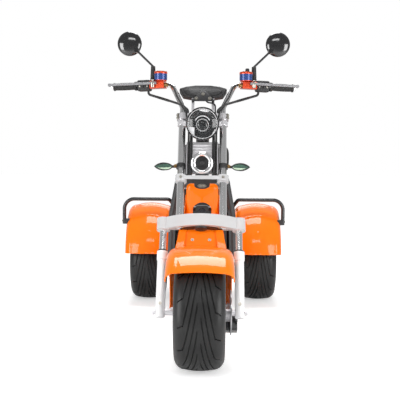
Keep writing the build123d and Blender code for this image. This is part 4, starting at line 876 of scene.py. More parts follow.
def add_reservoirs():
    seat = on_bar(MASTER_REACH - RESERVOIR_R / 2, 0, MASTER_START + 0.050)
    low = seat.z + MASTER_W / 2
    bands = (
        # name, slot, profile of (radius, height)
        ("reservoir_cups", "blue_cup", (
            (0, 0.003), (0.029, 0.003), (0.030, 0.008), (0.030, 0.033), (0, 0.033))),
        ("reservoir_rims", "red_alloy", ((0, 0), (0.0275, 0), (0.029, 0.0055), (0, 0.0055))),
        ("reservoir_caps", "red_alloy", (
            (0, 0.0325), (0.0305, 0.0325), (0.031, 0.035), (0.031, 0.039), (0.0295, 0.0425), (0.020, 0.043),
            (0, 0.043))),
    )
    for name, slot, profile in bands:
        shape = Shape()
        for side in SIDES:
            place = Matrix.Translation(mirrored((seat.x, seat.y, low), side))
            shape.lathe(profile, place, 44)
        replaced = ("reservoirs",) if name == "reservoir_cups" else ()
        shape.piece(name, slot, replaces=replaced)
    top = Shape()
    for side in SIDES:
        place = Matrix.Translation(mirrored((seat.x, seat.y, low), side))
        top.lathe([(0, 0.043), (0.021, 0.043), (0.0205, 0.0445), (0.012, 0.0455), (0, 0.0455)], place, 32)
        for a in turns(3):
            spot = place @ Vector((0.026 * cos(a), 0.026 * sin(a), 0.0424))
            top.bolt(spot, UP, 0.0022, 0.0022)
    knob = shift(seat.x + 0.006, seat.y, low + 0.0452)
    top.lathe([(0, 0), (0.0095, 0), (0.0095, 0.009), (0.008, 0.013), (0.0045, 0.015), (0, 0.0155)], knob, 24)
    top.piece("reservoir_tops", "black_plastic")


def add_bar_fittings():
    """Switch buttons, clamp bolts, hose bolts and lever pivots."""
    black, red, pale, zinc, brass = shapes(5)
    pod = GRIP_L + POD_GAP
    for side in SIDES:
        place = bar_place(0, 0, pod, side, BAR_IN)
        black.lathe([
            (0.0235, 0.030), (0.0262, 0.031), (0.0262, 0.033), (0.0235, 0.034)], place, 24, closed=True)
        rear = bar_place(-0.0215, 0.010, pod + 0.020, side, -BAR_FORWARD)
        red.block((0.012, 0.009, 0.005), rear, 0.0015)
        for along, up in ((0.040, 0.012), (0.046, -0.010), (0.024, -0.012)):
            pale.block((0.010, 0.007, 0.004), bar_place(-0.0215, up, pod + along, side, -BAR_FORWARD), 0.0012)
        for along in (0.014, 0.050):
            zinc.bolt(on_bar(0.0218, -0.004, pod + along, side), mirrored(BAR_FORWARD, side), 0.0028, 0.002)
        for up in (-0.0095, 0.0095):
            spot = on_bar(-MASTER_W / 2 - 0.0005, up, MASTER_START + 0.018, side)
            zinc.bolt(spot, mirrored(-BAR_FORWARD, side), 0.0035, 0.004)
        inner = MASTER_START + MASTER_L
        banjo = bar_place(MASTER_REACH - 0.014, -0.002, inner, side, BAR_IN)
        brass.lathe([
            (0, 0), (0.0105, 0), (0.0105, 0.004), (0.0085, 0.0045), (0.0085, 0.010), (0.0105, 0.0105),
            (0.0105, 0.0125), (0, 0.0125)], banjo, 24)
        brass.bolt(
            on_bar(MASTER_REACH - 0.014, -0.002, inner + 0.0125, side), mirrored(BAR_IN, side), 0.0075,
            0.007)
        pivot = on_bar(MASTER_REACH + 0.004, 0.0175, MASTER_START + 0.016, side)
        zinc.bolt(pivot, mirrored(BAR_UP, side), 0.0055, 0.0045)
        lever = bar_place(MASTER_REACH + 0.005, -0.013, MASTER_START + 0.016, side, BAR_UP)
        zinc.lathe([
            (0, 0), (0.009, 0), (0.0095, 0.002), (0.0095, 0.024), (0.009, 0.026), (0, 0.026)], lever, 24)
    black.piece("switch_seams", "rubber")
    red.piece("switch_stop_buttons", "red_lens")
    pale.piece("switch_buttons", "black_plastic", material=MARKS)
    zinc.piece("control_bolts", "alloy", material=ZINC)
    brass.piece("hose_bolts", "alloy", material=BRASS)


def add_mirror_details():
    """Domed mirror backs, a boss on each, and boots on the stems."""
    dome, boss, boots = shapes(3)
    out = half_size("mirror_shells").x - half_size("mirror_shells").z
    mirror = Vector((out, middle("mirror_shells").y, middle("mirror_shells").z))
    radius = half_size("mirror_shells").z
    depth = 2 * half_size("mirror_shells").y
    perch = on_bar(0, 0, MASTER_START + 0.006)
    top = from_clamp(0, 0, 0.2454).z
    for side in SIDES:
        here = mirrored(mirror, side)
        place = facing(here + Vector((0, depth / 2, 0)), -BACKWARD)
        angles = [radians(t) for t in range(0, 90, 9)]
        swell = [(radius * cos(a), 0.004 + (depth - 0.0045) * sin(a)) for a in angles]
        rim = [
            (radius - 0.0045, 0.003), (radius - 0.0045, 0.0002), (radius - 0.001, 0.0002), (radius, 0.0015)]
        dome.lathe([(0, 0.0031)] + rim + swell + [(0, depth - 0.0005)], place, 64)
        lean = (mirrored((perch.x, perch.y, top), side) - here).normalized()
        spot = here + lean * 0.046 + Vector((0, -0.010, 0))
        boss.lathe([
            (0, -0.014), (0.0105, -0.014), (0.012, -0.010), (0.012, 0.004), (0.0105, 0.008), (0, 0.009)],
            facing(spot, -BACKWARD), 28)
        boss.tube([
            spot + Vector((0, 0.006, 0)), spot + lean * 0.012 + Vector((0, 0.010, 0))], [0.011, 0.0075], 20)
        foot = Matrix.Translation(mirrored((perch.x, perch.y, perch.z + MASTER_W / 2), side))
        high = top - perch.z - MASTER_W / 2
        boots.lathe([
            (0, 0.0006), (0.0145, 0.0006), (0.015, 0.004), (0.0125, 0.010), (0.0135, 0.014),
            (0.0118, 0.019), (0.0125, 0.024), (0.0105, high - 0.008), (0.0105, high - 0.001),
            (0.0085, high + 0.001), (0, high + 0.001)], foot, 28)
    dome.piece("mirror_domes", "black_gloss", crease=40, replaces=("mirror_shells",))
    boss.piece("mirror_bosses", "black_gloss")
    boots.piece("mirror_boots", "rubber")


add_grips()
add_reservoirs()
add_bar_fittings()
add_mirror_details()


# Dash: panel with a bowed silver rim, a dark screen and a three-bolt bracket

DASH_BACK = -0.014
DASH_T = 0.034
DASH_LOW, DASH_TOP = 1.010, 1.072
DASH_OUTLINE = (
    # half width, distance along the fork
    (0.048, DASH_LOW), (0.092, 1.019), (0.110, 1.050), (0.108, 1.057), (0.076, 1.068), (0.036, DASH_TOP),
)


def fork_place(back, towards=-1):
    """Placement in the fork's plane: X across, Y along the fork, Z to the front or back."""
    z = STEER_BACK * towards
    turn = Matrix((STEER_UP.cross(z), STEER_UP, z)).transposed().to_4x4()
    return Matrix.Translation(on_fork(0, back, 0)) @ turn


def add_dash():
    front = fork_place(DASH_BACK)
    rear = fork_place(DASH_BACK + DASH_T, 1)
    both = list(DASH_OUTLINE) + [(-x, y) for x, y in reversed(DASH_OUTLINE)]
    panel = Shape()
    panel.prism(both, -DASH_T, front, 0.006, 3)
    inset = [(x * 0.80, DASH_LOW + (y - DASH_LOW) * 0.62 + 0.008) for x, y in both]
    panel.prism(inset, 0.003, front @ shift(0, 0, -0.0005), 0.001)
    panel.piece("dash_panel", "black_plastic", replaces=("dash",))

    rim = Shape()
    sweep = [(0.109, 1.053), (0.076, 1.0675), (0.036, DASH_TOP), (0, DASH_TOP + 0.001)]
    sweep += [(-x, y) for x, y in reversed(sweep[:-1])]
    line = [front @ Vector((x, y, -DASH_T * 0.45)) for x, y in sweep]
    rim.tube(smooth_line(line, 6), 0.0065, 14)
    rim.piece("dash_rim", "silver")

    screen = Shape()
    glass = [(x * 0.86, DASH_LOW + 0.005 + (y - DASH_LOW) * 0.86) for x, y in both]
    screen.prism(glass, 0.0025, rear @ shift(0, 0, -0.0006), 0.001)
    screen.piece("dash_screen", "black_gloss", material=SCREEN)
    marks = Shape()
    dial = rear @ shift(0, (DASH_LOW + DASH_TOP) / 2 - 0.006, 0.0022)
    for i in range(13):
        a = radians(-30 + 20 * i)
        marks.tube([dial @ Vector((r * cos(a), r * sin(a), 0)) for r in (0.0175, 0.0215)], 0.0006, 6)
    for x in (-0.055, -0.045, 0.045, 0.055):
        marks.ring(0.003, 0.0006, dial @ shift(x, 0.004, 0), 20, 6)
    marks.piece("dash_marks", "black_plastic", material=MARKS)

    bracket = Shape()
    brace = [
        (-0.052, 0.985), (0.052, 0.985), (0.040, 1.004), (0.007, 1.040), (-0.007, 1.040), (-0.040, 1.004)]
    bracket.prism(brace, 0.006, front @ shift(0, 0, 0.0012), 0.002)
    for side in SIDES:
        bracket.block((0.013, 0.012, 0.010), front @ shift(side * 0.046, 0.992, -0.010), 0.002)
    bracket.piece("dash_bracket", "black_steel")
    bolts = Shape()
    for x, along in ((-0.031, 0.998), (0.031, 0.998), (0.0, 1.021)):
        bolts.bolt(front @ Vector((x, along, 0.0072)), -STEER_BACK, 0.0055, 0.004)
    bolts.piece("dash_bolts", "alloy", material=ZINC)


add_dash()


# Fork: chromed tubes, bolts, seals, painted shade under the lower clamp, a dark cover under the yoke and ribs of
# the lamp plate

PLATE_FROM, PLATE_TO = 0.630, 0.772
PLATE_RIBS = 9


def add_fork_tubes():
    """Chromed tubes: upper ones from the yoke to the top clamp, lower ones from the legs to the yoke."""
    tubes = Shape()
    runs = (
        (STANCHION_X, STANCHION_R, YOKE_ALONG - YOKE_SEAT, TOP_CLAMP_ALONG),
        (LEG_X, SLIDER_R, LEG_TOP - SLIDER_DEPTH + 0.0005, YOKE_ALONG + YOKE_SEAT),
    )
    for side in SIDES:
        for x, radius, low, high in runs:
            run = high - low
            edge = radius - 0.001
            profile = [(0, 0), (edge, 0), (radius, 0.001), (radius, run - 0.001), (edge, run), (0, run)]
            tubes.lathe(profile, facing(on_fork(side * x, 0, low), STEER_UP), 64)
    tubes.piece("fork_chrome_tubes", "chrome", crease=30, replaces=("fork_tubes",))


def add_fork_details():
    bolts, seals, brass, under, ribs = shapes(5)
    for side in SIDES:
        for along in (TOP_CLAMP_ALONG - 0.007, TOP_CLAMP_ALONG + 0.007):
            slant = -STEER_BACK + ACROSS * side * 0.6
            bolts.bolt(on_fork(side * (STANCHION_X + 0.020), -0.016, along), slant, 0.0052, 0.006)
        bolts.bolt(on_fork(side * STANCHION_X, -0.0248, LOWER_CLAMP_ALONG), -STEER_BACK, 0.0042, 0.004)
        bolts.bolt(on_fork(side * 0.076, -0.044, YOKE_ALONG - 0.0265), -STEER_UP, 0.0048, 0.004)
        seal = facing(on_fork(side * LEG_X, 0, LEG_TOP), STEER_UP)
        seals.lathe([
            (0.0148, 0.0004), (0.0218, 0.0004), (0.0222, 0.003), (0.0200, 0.0060), (0.0170, 0.0085),
            (0.0148, 0.0085)], seal, 36, closed=True)
        bolts.bolt(on_fork(side * (LEG_X + 0.0005), -0.0198, 0.030), -STEER_BACK, 0.0045, 0.005)
        bolts.bolt(on_fork(side * 0.1385, -0.008, 0.218), -STEER_BACK, 0.0042, 0.004)
        brass.bolt(on_fork(side * 0.1165, -0.006, LOWER_CLAMP_ALONG + 0.0613), -STEER_BACK, 0.0055, 0.006)
    bolts.bolt(on_fork(0, STEM_BACK, LOWER_CLAMP_ALONG - 0.0102), -STEER_UP, 0.013, 0.004)
    bolts.piece("fork_bolts", "alloy", material=ZINC)
    # A thin black sheet under the lower clamp is painted shade; the plate and cap under the yoke are a dark cover.
    boss = [(x, STEM_BACK + y) for x, y in arc(0.0335, 0, 180, 16)]
    flank = [(0.066, -0.019), (0.066, 0.018), (0.034, 0.022)]
    pad = flank + boss + [(-x, y) for x, y in reversed(flank)]
    under.prism(pad, 0.0012, facing(on_fork(0, 0, LOWER_CLAMP_ALONG - 0.0091), -STEER_UP, STEER_BACK))
    bow = [(0.088, -0.028), (0.060, -0.044), (0.030, -0.053), (0, -0.056)]
    bow += [(-x, y) for x, y in reversed(bow[:-1])]
    pad = bow + [(x, y + 0.034) for x, y in reversed(bow)]
    under.prism(pad, 0.0014, facing(on_fork(0, 0, YOKE_ALONG - 0.0261), -STEER_UP, STEER_BACK))
    cap = facing(on_fork(0, -0.034, YOKE_ALONG - 0.0272), -STEER_UP)
    under.lathe([(0, 0), (0.026, 0), (0.024, 0.006), (0.012, 0.0095), (0, 0.010)], cap, 36)
    under.piece("fork_underside_shade_and_cover", "black_plastic")
    seals.piece("fork_seals", "rubber")
    brass.piece("indicator_bolts", "alloy", material=BRASS)

    for i in range(PLATE_RIBS):
        along = PLATE_FROM + (PLATE_TO - PLATE_FROM) * (i + 0.5) / PLATE_RIBS
        ribs.block((0.128, 0.0085, 0.0035), fork_place(0.0005) @ shift(0, along, 0), 0.0012)
    ribs.piece("lamp_plate_ribs", "alloy")


add_fork_tubes()
add_fork_details()


# Wiring: ribs on the conduits between the clamps, spiral wrap on the switch looms

CONDUIT_X = 0.050
CONDUIT_BACK = -0.0075
CONDUIT_R = 0.0065
CONDUIT_FROM, CONDUIT_TO = 0.612, 0.782
WRAP_R = 0.0055
LOOM_SAG_AT = BAR_KNEE + Vector((0.004, -0.042, -0.080))
LOOM_START = on_bar(0, -0.041, GRIP_L + POD_GAP + 0.050)


def add_wiring_details():
    ribs = Shape()
    count = 38
    for side in SIDES:
        for i in range(count):
            along = CONDUIT_FROM + (CONDUIT_TO - CONDUIT_FROM) * i / (count - 1)
            place = facing(on_fork(side * CONDUIT_X, CONDUIT_BACK, along), STEER_UP)
            ribs.ring(CONDUIT_R - 0.0002, 0.0011, place, 20, 6)
    ribs.piece("conduit_ribs", "black_plastic")
    wrap = Shape()
    run = LOOM_SAG_AT - LOOM_START
    count = 15
    for side in SIDES:
        for i in range(count):
            spot = LOOM_START + run * (0.42 + 0.50 * i / (count - 1))
            lean = run.normalized() + BAR_UP * 0.35
            wrap.ring(WRAP_R + 0.0002, 0.0010, facing(mirrored(spot, side), mirrored(lean, side)), 20, 6)
    wrap.piece("loom_wrap", "rubber")


add_wiring_details()


# Front indicators: black leaf with a two-tone lens

LEAF_IN = 0.128
LEAF_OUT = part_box("front_blinker_lenses")[1].x
LEAF_HALF = 0.0165
LEAF_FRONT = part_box("front_blinker_lenses")[0].y
LEAF_Z = middle("front_blinker_lenses").z


def leaf_half(margin, steps=14):
    """Upper half of the leaf outline from root to tip, drawn in by a margin: (across, height)."""
    length = LEAF_OUT - LEAF_IN - 2.6 * margin
    points = []
    for i in range(steps + 1):
        t = i / steps
        swell = sin(pi * t ** 0.72) ** 0.9
        points.append((LEAF_IN + 1.3 * margin + length * t, max(LEAF_HALF - margin, 0.001) * swell))
    return points


def add_indicators():
    leaf, pale, dark = shapes(3)
    depth = 2 * half_size("front_blinker_lenses").y
    for side in SIDES:
        base = facing(Vector((0, LEAF_FRONT + depth, LEAF_Z)), -BACKWARD)
        outer = leaf_half(0.0)
        whole = outer + [(x, -z) for x, z in reversed(outer[1:-1])]
        leaf.prism([(x * side, z) for x, z in whole], depth - 0.003, base, 0.0035, 3)
        raised = base @ shift(0, 0, depth - 0.0035)
        inner = leaf_half(0.0042)
        upper = inner + [(x, -0.0012 - 0.003 * (x - LEAF_IN) / 0.084) for x, _ in reversed(inner[2:-2])]
        dark.prism([(x * side, z) for x, z in upper], 0.0030, raised, 0.0010)
        lower = [(x, -z) for x, z in inner]
        lower += [(x, -0.0026 - 0.003 * (x - LEAF_IN) / 0.084) for x, _ in reversed(inner[2:-2])]
        pale.prism([(x * side, z) for x, z in lower], 0.0030, raised, 0.0008)
    leaf.piece("indicator_leaves", "black_plastic", replaces=("front_blinker_lenses",))
    dark.piece("indicator_upper_lenses", "blinker_lens")
    pale.piece("indicator_lower_lenses", "blinker_lens", material=PALE_GREEN)


add_indicators()


# Fenders: beads along their edges and a crease, each given by its inset and its wire's radius

FENDER_SECTION = (
    # node, body, half width, lower radius, upper radius, crown, shoulder, angles of beads ahead of the top
    ("front_fender", "steering", 0.134, 0.205, 0.265, 0.007, 0.042, (42.6, -97.6)),
    ("rear_fender_left", "chassis", 0.130, 0.190, 0.300, 0.014, 0.042, (14.0, 83.6, -89.6)),
    ("rear_fender_right", "chassis", 0.130, 0.190, 0.300, 0.014, 0.042, (14.0, 83.6, -89.6)),
)
REAR_FENDER_LIFT = 0.045
EDGE_BEAD = (0.002, 0.0032)
CREASE_BEAD = (0.0005, 0.0017)
CREASE_BELOW = 20


def fender_line(half, low, top, crown, shoulder):
    """Half section of a fender from its middle to its lower edge: (across, radius)."""
    flat = half - shoulder
    edge = top - crown
    line = [(flat * i / 6, top - crown * (i / 6) ** 2) for i in range(7)]
    angles = [radians(90 - 15 * i) for i in range(1, 7)]
    line += [(flat + shoulder * cos(a), edge - shoulder + shoulder * sin(a)) for a in angles]
    return line + [(half, low + (edge - shoulder - low) * (1 - i / 4)) for i in range(1, 5)]


def add_fender_beads():
    for node, body, half, low, top, crown, shoulder, angles in FENDER_SECTION:
        centre = FRONT_AXLE.copy()
        if body == "chassis":
            centre = middle(node.replace("fender", "tyre"))
            centre.x = middle(node).x
            centre.z += REAR_FENDER_LIFT
        line = fender_line(half, low, top, crown, shoulder)
        line = [(-x, r) for x, r in reversed(line)] + line[1:]
        shape = Shape()
        for angle in angles:
            a = radians(angle)
            inset, wire = EDGE_BEAD if abs(angle) > CREASE_BELOW else CREASE_BEAD
            points = []
            for x, r in line:
                reach = r - inset
                points.append(centre + Vector((x * (1 - inset / half), -reach * sin(a), reach * cos(a))))
            shape.tube(points, wire, 10)
        shape.piece(node + "_beads", "orange", body)


add_fender_beads()


# Shield between the fender and the yoke: raised side facets and two bolts

SHIELD_FRONT = -0.014


def add_shield():
    front = fork_place(SHIELD_FRONT)
    facets = Shape()
    for side in SIDES:
        outline = [(0.108, 0.262), (0.0905, 0.350), (0.060, 0.350), (0.069, 0.262)]
        outline = [(x * side, y) for x, y in outline]
        facets.prism(outline, 0.0065, front @ shift(0, 0, -0.0005), 0.0035, 3)
    facets.piece("shield_facets", "orange")
    bolts = Shape()
    for side in SIDES:
        bolts.bolt(front @ Vector((side * 0.036, 0.306, 0.0)), -STEER_BACK, 0.0042, 0.0035)
    bolts.piece("shield_bolts", "alloy", material=ZINC)


add_shield()


# Nose cover: creased shell round an arched notch, with the lock's key slot

NOSE_LOW, NOSE_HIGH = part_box("nose_cover")[0].z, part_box("nose_cover")[1].z
NOSE_FRONT, NOSE_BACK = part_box("nose_cover")[0].y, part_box("nose_cover")[1].y
NOSE_TOP_HALF, NOSE_LOW_HALF = 0.075, 0.083
NOSE_FILLET = 0.022
NOTCH_HALF = 0.046
NOTCH_TOP = NOSE_HIGH - 0.088


def nose_outline():
    """Outer edge from the lower left corner over the top to the lower right one: (x, z)."""
    turn = NOSE_TOP_HALF - NOSE_FILLET
    shoulder = NOSE_HIGH - NOSE_FILLET
    lean = NOSE_LOW_HALF - NOSE_TOP_HALF
    left = [(-NOSE_LOW_HALF + lean * i / 12, NOSE_LOW + (shoulder - NOSE_LOW) * i / 12) for i in range(13)]
    left += [(-turn - x, shoulder + z) for x, z in arc(NOSE_FILLET, 15, 90, 5)]
    top = [(-turn + turn * i / 6, NOSE_HIGH) for i in range(1, 7)]
    half = left + top
    return half + [(-x, z) for x, z in reversed(half[:-1])]


def notch_outline(count):
    """Arched inner edge with as many points."""
    spring = NOTCH_TOP - NOTCH_HALF
    straight = count // 4
    left = [(-NOTCH_HALF, NOSE_LOW + (spring - NOSE_LOW) * i / straight) for i in range(straight)]
    round_steps = count - 2 * straight
    over = [(-x, spring + z) for x, z in arc(NOTCH_HALF, 0, 180, round_steps - 1)]
    return left + over + [(-x, z) for x, z in reversed(left)]


def nose_depth(x, z, t):
    """How far the shell stands back from its foremost plane."""
    height = (z - NOSE_LOW) / (NOSE_HIGH - NOSE_LOW)
    crease = 0.60 + 0.30 * min(abs(x) / NOSE_TOP_HALF, 1.0)
    dive = max(crease - height, 0.0)
    side = max(abs(x) - 0.055, 0.0)
    edge = max(t - 0.86, 0.0) / 0.14
    return 0.004 + 0.055 * dive + side * 0.35 + 0.010 * edge * edge


def add_nose():
    outer = nose_outline()
    inner = notch_outline(len(outer))
    rows = 14
    front = []
    for k in range(rows + 1):
        t = k / rows
        row = []
        for (xi, zi), (xo, zo) in zip(inner, outer):
            x, z = xi + (xo - xi) * t, zi + (zo - zi) * t
            row.append(Vector((x, NOSE_FRONT + nose_depth(x, z, t), z)))
        front.append(row)
    lip = [Vector((p.x, min(p.y + 0.020, NOSE_BACK), p.z)) for p in front[0]]
    skirt = [Vector((p.x, NOSE_BACK, p.z)) for p in front[-1]]
    shape = Shape()
    grid = [[shape.bm.verts.new(p) for p in row] for row in [lip] + front + [skirt]]
    for a, b in zip(grid, grid[1:]):
        for i in range(len(a) - 1):
            shape.bm.faces.new((a[i], a[i + 1], b[i + 1], b[i]))
    piece = shape.piece("nose_shell", "orange", "chassis", crease=28, replaces=("nose_cover",))
    thick = piece.modifiers.new("wall", "SOLIDIFY")
    thick.thickness = 0.003
    thick.offset = -1

    lock = Shape()
    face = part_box("lock_box")[0]
    place = facing(Vector((0, face.y + 0.0004, middle("lock_box").z)), -BACKWARD)
    lock.lathe([
        (0, 0), (0.015, 0), (0.0155, 0.0025), (0.0135, 0.0045), (0.009, 0.0045), (0.0085, 0.0025),
        (0, 0.0025)], place, 36)
    lock.piece("lock_barrel", "black_gloss", "chassis", material=DARK_CHROME)
    slot = Shape()
    slot.block((0.0022, 0.010, 0.0012), place @ shift(0, 0, 0.0023), 0.0003)
    slot.piece("lock_key_slot", "black_plastic", "chassis")


add_nose()


# Seat and backrest: padded forms swollen by cloth simulation, then piped and stitched

SEAT_LOW, SEAT_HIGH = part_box("seat")
PAD_LOW, PAD_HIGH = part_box("backrest")
PAD_SQUARENESS = 0.55
STEP_SEAM = 0.50
VOXEL = 0.006
SWELL_FRAMES = 20
SEAT_SECTIONS = (
    # share of the length, half width, height of the top over the base
    (0.00, 0.094, 0.066), (0.03, 0.112, 0.086), (0.10, 0.128, 0.098), (0.25, 0.138, 0.092),
    (0.40, 0.142, 0.090), (0.47, 0.143, 0.102), (0.52, 0.143, 0.136), (0.56, 0.142, 0.142),
    (0.75, 0.138, 0.140), (0.92, 0.130, 0.134), (0.98, 0.118, 0.122), (1.00, 0.104, 0.098),
)


def rounded_section(half, height, low, corner=0.034, steps=5):
    """Points round a seat section: flat base, upright sides and round upper edges: (x, z)."""
    corner = min(corner, height * 0.45)
    right = [(half - 0.006, low), (half, low + 0.008)]
    right += [(half - corner + x, low + height - corner + z) for x, z in arc(corner, 0, 90, steps)]
    return right + [(-x, z) for x, z in reversed(right)]


def apply_modifier(piece, modifier):
    """Bakes one modifier's result into the piece's own mesh."""
    bpy.context.view_layer.update()
    result = bpy.data.meshes.new_from_object(piece.evaluated_get(bpy.context.evaluated_depsgraph_get()))
    piece.modifiers.remove(modifier)
    piece.data = result


def swell(piece, held, reach):
    """Swells a remeshed form by cloth pressure; held points stay, others move at most by reach."""
    remesh = piece.modifiers.new("remesh", "REMESH")
    remesh.mode = "VOXEL"
    remesh.voxel_size = VOXEL
    apply_modifier(piece, remesh)
    rest = [v.co.copy() for v in piece.data.vertices]
    pins = piece.vertex_groups.new(name="held")
    pins.add([i for i, p in enumerate(rest) if held(p)], 1.0, "REPLACE")
    cloth = piece.modifiers.new("cloth", "CLOTH")
    cloth.settings.quality = 5
    cloth.settings.use_pressure = True
    cloth.settings.uniform_pressure_force = 4.0
    cloth.settings.effector_weights.gravity = 0.0
    cloth.settings.vertex_group_mass = "held"
    cloth.point_cache.frame_start = 1
    cloth.point_cache.frame_end = SWELL_FRAMES
    for step in range(1, SWELL_FRAMES + 1):
        bpy.context.scene.frame_set(step)
    apply_modifier(piece, cloth)
    bpy.context.scene.frame_set(1)
    for vertex, start in zip(piece.data.vertices, rest):
        move = vertex.co - start
        if move.length > reach:
            vertex.co = start + move * (reach / move.length)
    smooth = piece.modifiers.new("even", "SMOOTH")
    smooth.iterations = 6
    apply_modifier(piece, smooth)
    piece.data.shade_smooth()
    finer = piece.modifiers.new("finer", "SUBSURF")
    finer.levels = 1
    finer.render_levels = 1


def nearest_top(piece, x, y):
    """Height of a padded piece's upper side at a place."""
    hit, spot, _, _ = piece.ray_cast(Vector((x, y, 2.0)), Vector((0, 0, -1)))
    return spot.z if hit else SEAT_LOW.z


def add_seat():
    base = SEAT_LOW.z + 0.0006
    length = SEAT_HIGH.y - SEAT_LOW.y
    rings = []
    for share, half, height in SEAT_SECTIONS:
        y = SEAT_LOW.y + 0.006 + (length - 0.012) * share
        rings.append([Vector((x, y, z)) for x, z in rounded_section(half, height, base)])
    seat = Shape().rings(rings).object("seat_cushion")
    swell(seat, lambda p: p.z < base + 0.012, 0.016)
    dress(seat, MATERIALS["leather"], "chassis", ("seat",))
    bpy.context.view_layer.update()

    thread = Shape()
    for share in (STEP_SEAM, 0.30, 0.16, 0.62, 0.74, 0.86):
        y = SEAT_LOW.y + length * share
        reach, wire = (0.126, 0.003) if share == STEP_SEAM else (0.112, 0.0016)
        count = 34
        spots = []
        for i in range(count + 1):
            x = -reach + 2 * reach * i / count
            spots.append(Vector((x, y, nearest_top(seat, x, y) + 0.0004)))
        thread.tube(spots, wire, 8)
    thread.piece("seat_seams", "leather", "chassis", material=STITCH)
    piping = Shape()
    loop = []
    for share, half, _ in SEAT_SECTIONS:
        loop.append(Vector((half + 0.004, SEAT_LOW.y + 0.004 + (length - 0.008) * share, base + 0.014)))
    loop += [Vector((-p.x, p.y, p.z)) for p in reversed(loop)]
    piping.tube(smooth_line(loop + [loop[0]], 4)[:-1], 0.0042, 10, closed=True)
    piping.piece("seat_piping", "rubber", "chassis")


def add_backrest():
    half = (PAD_HIGH.x - PAD_LOW.x) / 2 - 0.012
    high = (PAD_HIGH.z - PAD_LOW.z) / 2 - 0.010
    centre = (PAD_LOW + PAD_HIGH) / 2
    outline = []
    for a in turns(40):
        x = half * abs(cos(a)) ** PAD_SQUARENESS * (1 if cos(a) >= 0 else -1)
        z = high * abs(sin(a)) ** PAD_SQUARENESS * (1 if sin(a) >= 0 else -1)
        outline.append((x, z))
    rings = []
    rear, front = PAD_HIGH.y, PAD_LOW.y
    layers = ((0.90, rear - 0.002), (1.0, rear - 0.012), (1.0, front + 0.024), (0.93, front + 0.010))
    for share, y in layers:
        rings.append([Vector((centre.x + x * share, y, centre.z + z * share)) for x, z in outline])
    pad = Shape().rings(rings).object("backrest_cushion")
    swell(pad, lambda p: p.y > PAD_HIGH.y - 0.010, 0.011)
    dress(pad, MATERIALS["leather"], "chassis", ("backrest",))
    piping = Shape()
    loop = [Vector((centre.x + x * 1.012, PAD_HIGH.y - 0.012, centre.z + z * 1.012)) for x, z in outline]
    piping.tube(loop, 0.0042, 10, closed=True)
    piping.piece("backrest_piping", "rubber", "chassis")


add_seat()
add_backrest()


# Floor, panels, shocks, motor, wheels and rear end


def add_footboard():
    low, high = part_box("footboard")
    ribs = Shape()
    count = 15
    for i in range(count):
        y = low.y + 0.030 + (high.y - low.y - 0.060) * i / (count - 1)
        ribs.block((high.x - low.x - 0.060, 0.007, 0.0028), shift(0, y, high.z - 0.0004), 0.0012)
    ribs.piece("footboard_ribs", "rubber", "chassis")


def add_panel_details():
    low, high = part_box("side_panels")
    socket = Shape()
    mount = next(m for m in frame["record"]["mounts"] if m["name"] == "charge_socket")
    spot = Vector(mount["pos_m"])
    radius = mount["dims"]["r_mm"] / 1000
    place = facing(Vector((high.x, spot.y, spot.z)), ACROSS)
    socket.lathe([
        (radius + 0.0008, -0.001), (radius + 0.006, -0.001), (radius + 0.0055, 0.0022),
        (radius + 0.0008, 0.0028)], place, 40, closed=True)
    for a in turns(3, pi / 2):
        pin = place @ shift(0.006 * cos(a), 0.006 * sin(a), 0)
        socket.lathe([(0, -0.0108), (0.0018, -0.0108), (0.0018, -0.004), (0, -0.0034)], pin, 12)
    socket.piece("charge_socket_ring", "black_plastic", "chassis")
    bolts = Shape()
    for side in SIDES:
        front, foot = low.y + 0.030, low.z + 0.035
        for y, z in ((front, foot), (front, high.z - 0.035), (high.y - 0.125, foot)):
            bolts.bolt(Vector((side * (high.x - 0.0006), y, z)), ACROSS * side, 0.0045, 0.003)
    bolts.piece("panel_bolts", "alloy", "chassis", material=ZINC)
    vents = Shape()
    for side in SIDES:
        for i in range(5):
            z = low.z + 0.085 + 0.020 * i
            start = Vector((side * (high.x - 0.001), low.y + 0.150 + 0.010 * i, z))
            spots = [start + BACKWARD * 0.085 * t for t in (0, 0.5, 1)]
            vents.tube(spots, [0.0028, 0.0036, 0.0028], 10)
    vents.piece("panel_slats", "black_plastic", "chassis")


SHOCK_WIRE = 0.0048
SHOCK_COIL_R = 0.0205
SHOCK_COILS = 8


def add_shocks():
    low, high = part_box("shocks")
    y = (low.y + high.y) / 2
    length = high.z - low.z
    damper, spring = shapes(2)
    for side in SIDES:
        x = side * (high.x - SHOCK_COIL_R - 0.0045)
        place = shift(x, y, low.z)
        damper.lathe([
            (0, 0.0005), (0.013, 0.0005), (0.013, 0.022), (0.024, 0.026), (0.024, 0.031), (0.013, 0.032),
            (0.013, length * 0.55), (0.007, length * 0.56), (0.007, length - 0.034),
            (0.024, length - 0.033), (0.024, length - 0.027), (0.013, length - 0.024),
            (0.013, length - 0.0005), (0, length - 0.0005)], place, 32)
        steps = SHOCK_COILS * 20
        helix = []
        for i in range(steps + 1):
            a = tau * i / 20
            rise = 0.034 + (length - 0.071) * i / steps
            helix.append(place @ Vector((SHOCK_COIL_R * cos(a), SHOCK_COIL_R * sin(a), rise)))
        spring.tube(helix, SHOCK_WIRE / 2 + 0.0008, 8)
    damper.piece("shock_dampers", "black_steel", "chassis", replaces=("shocks",))
    spring.piece("shock_springs", "chrome", "chassis")


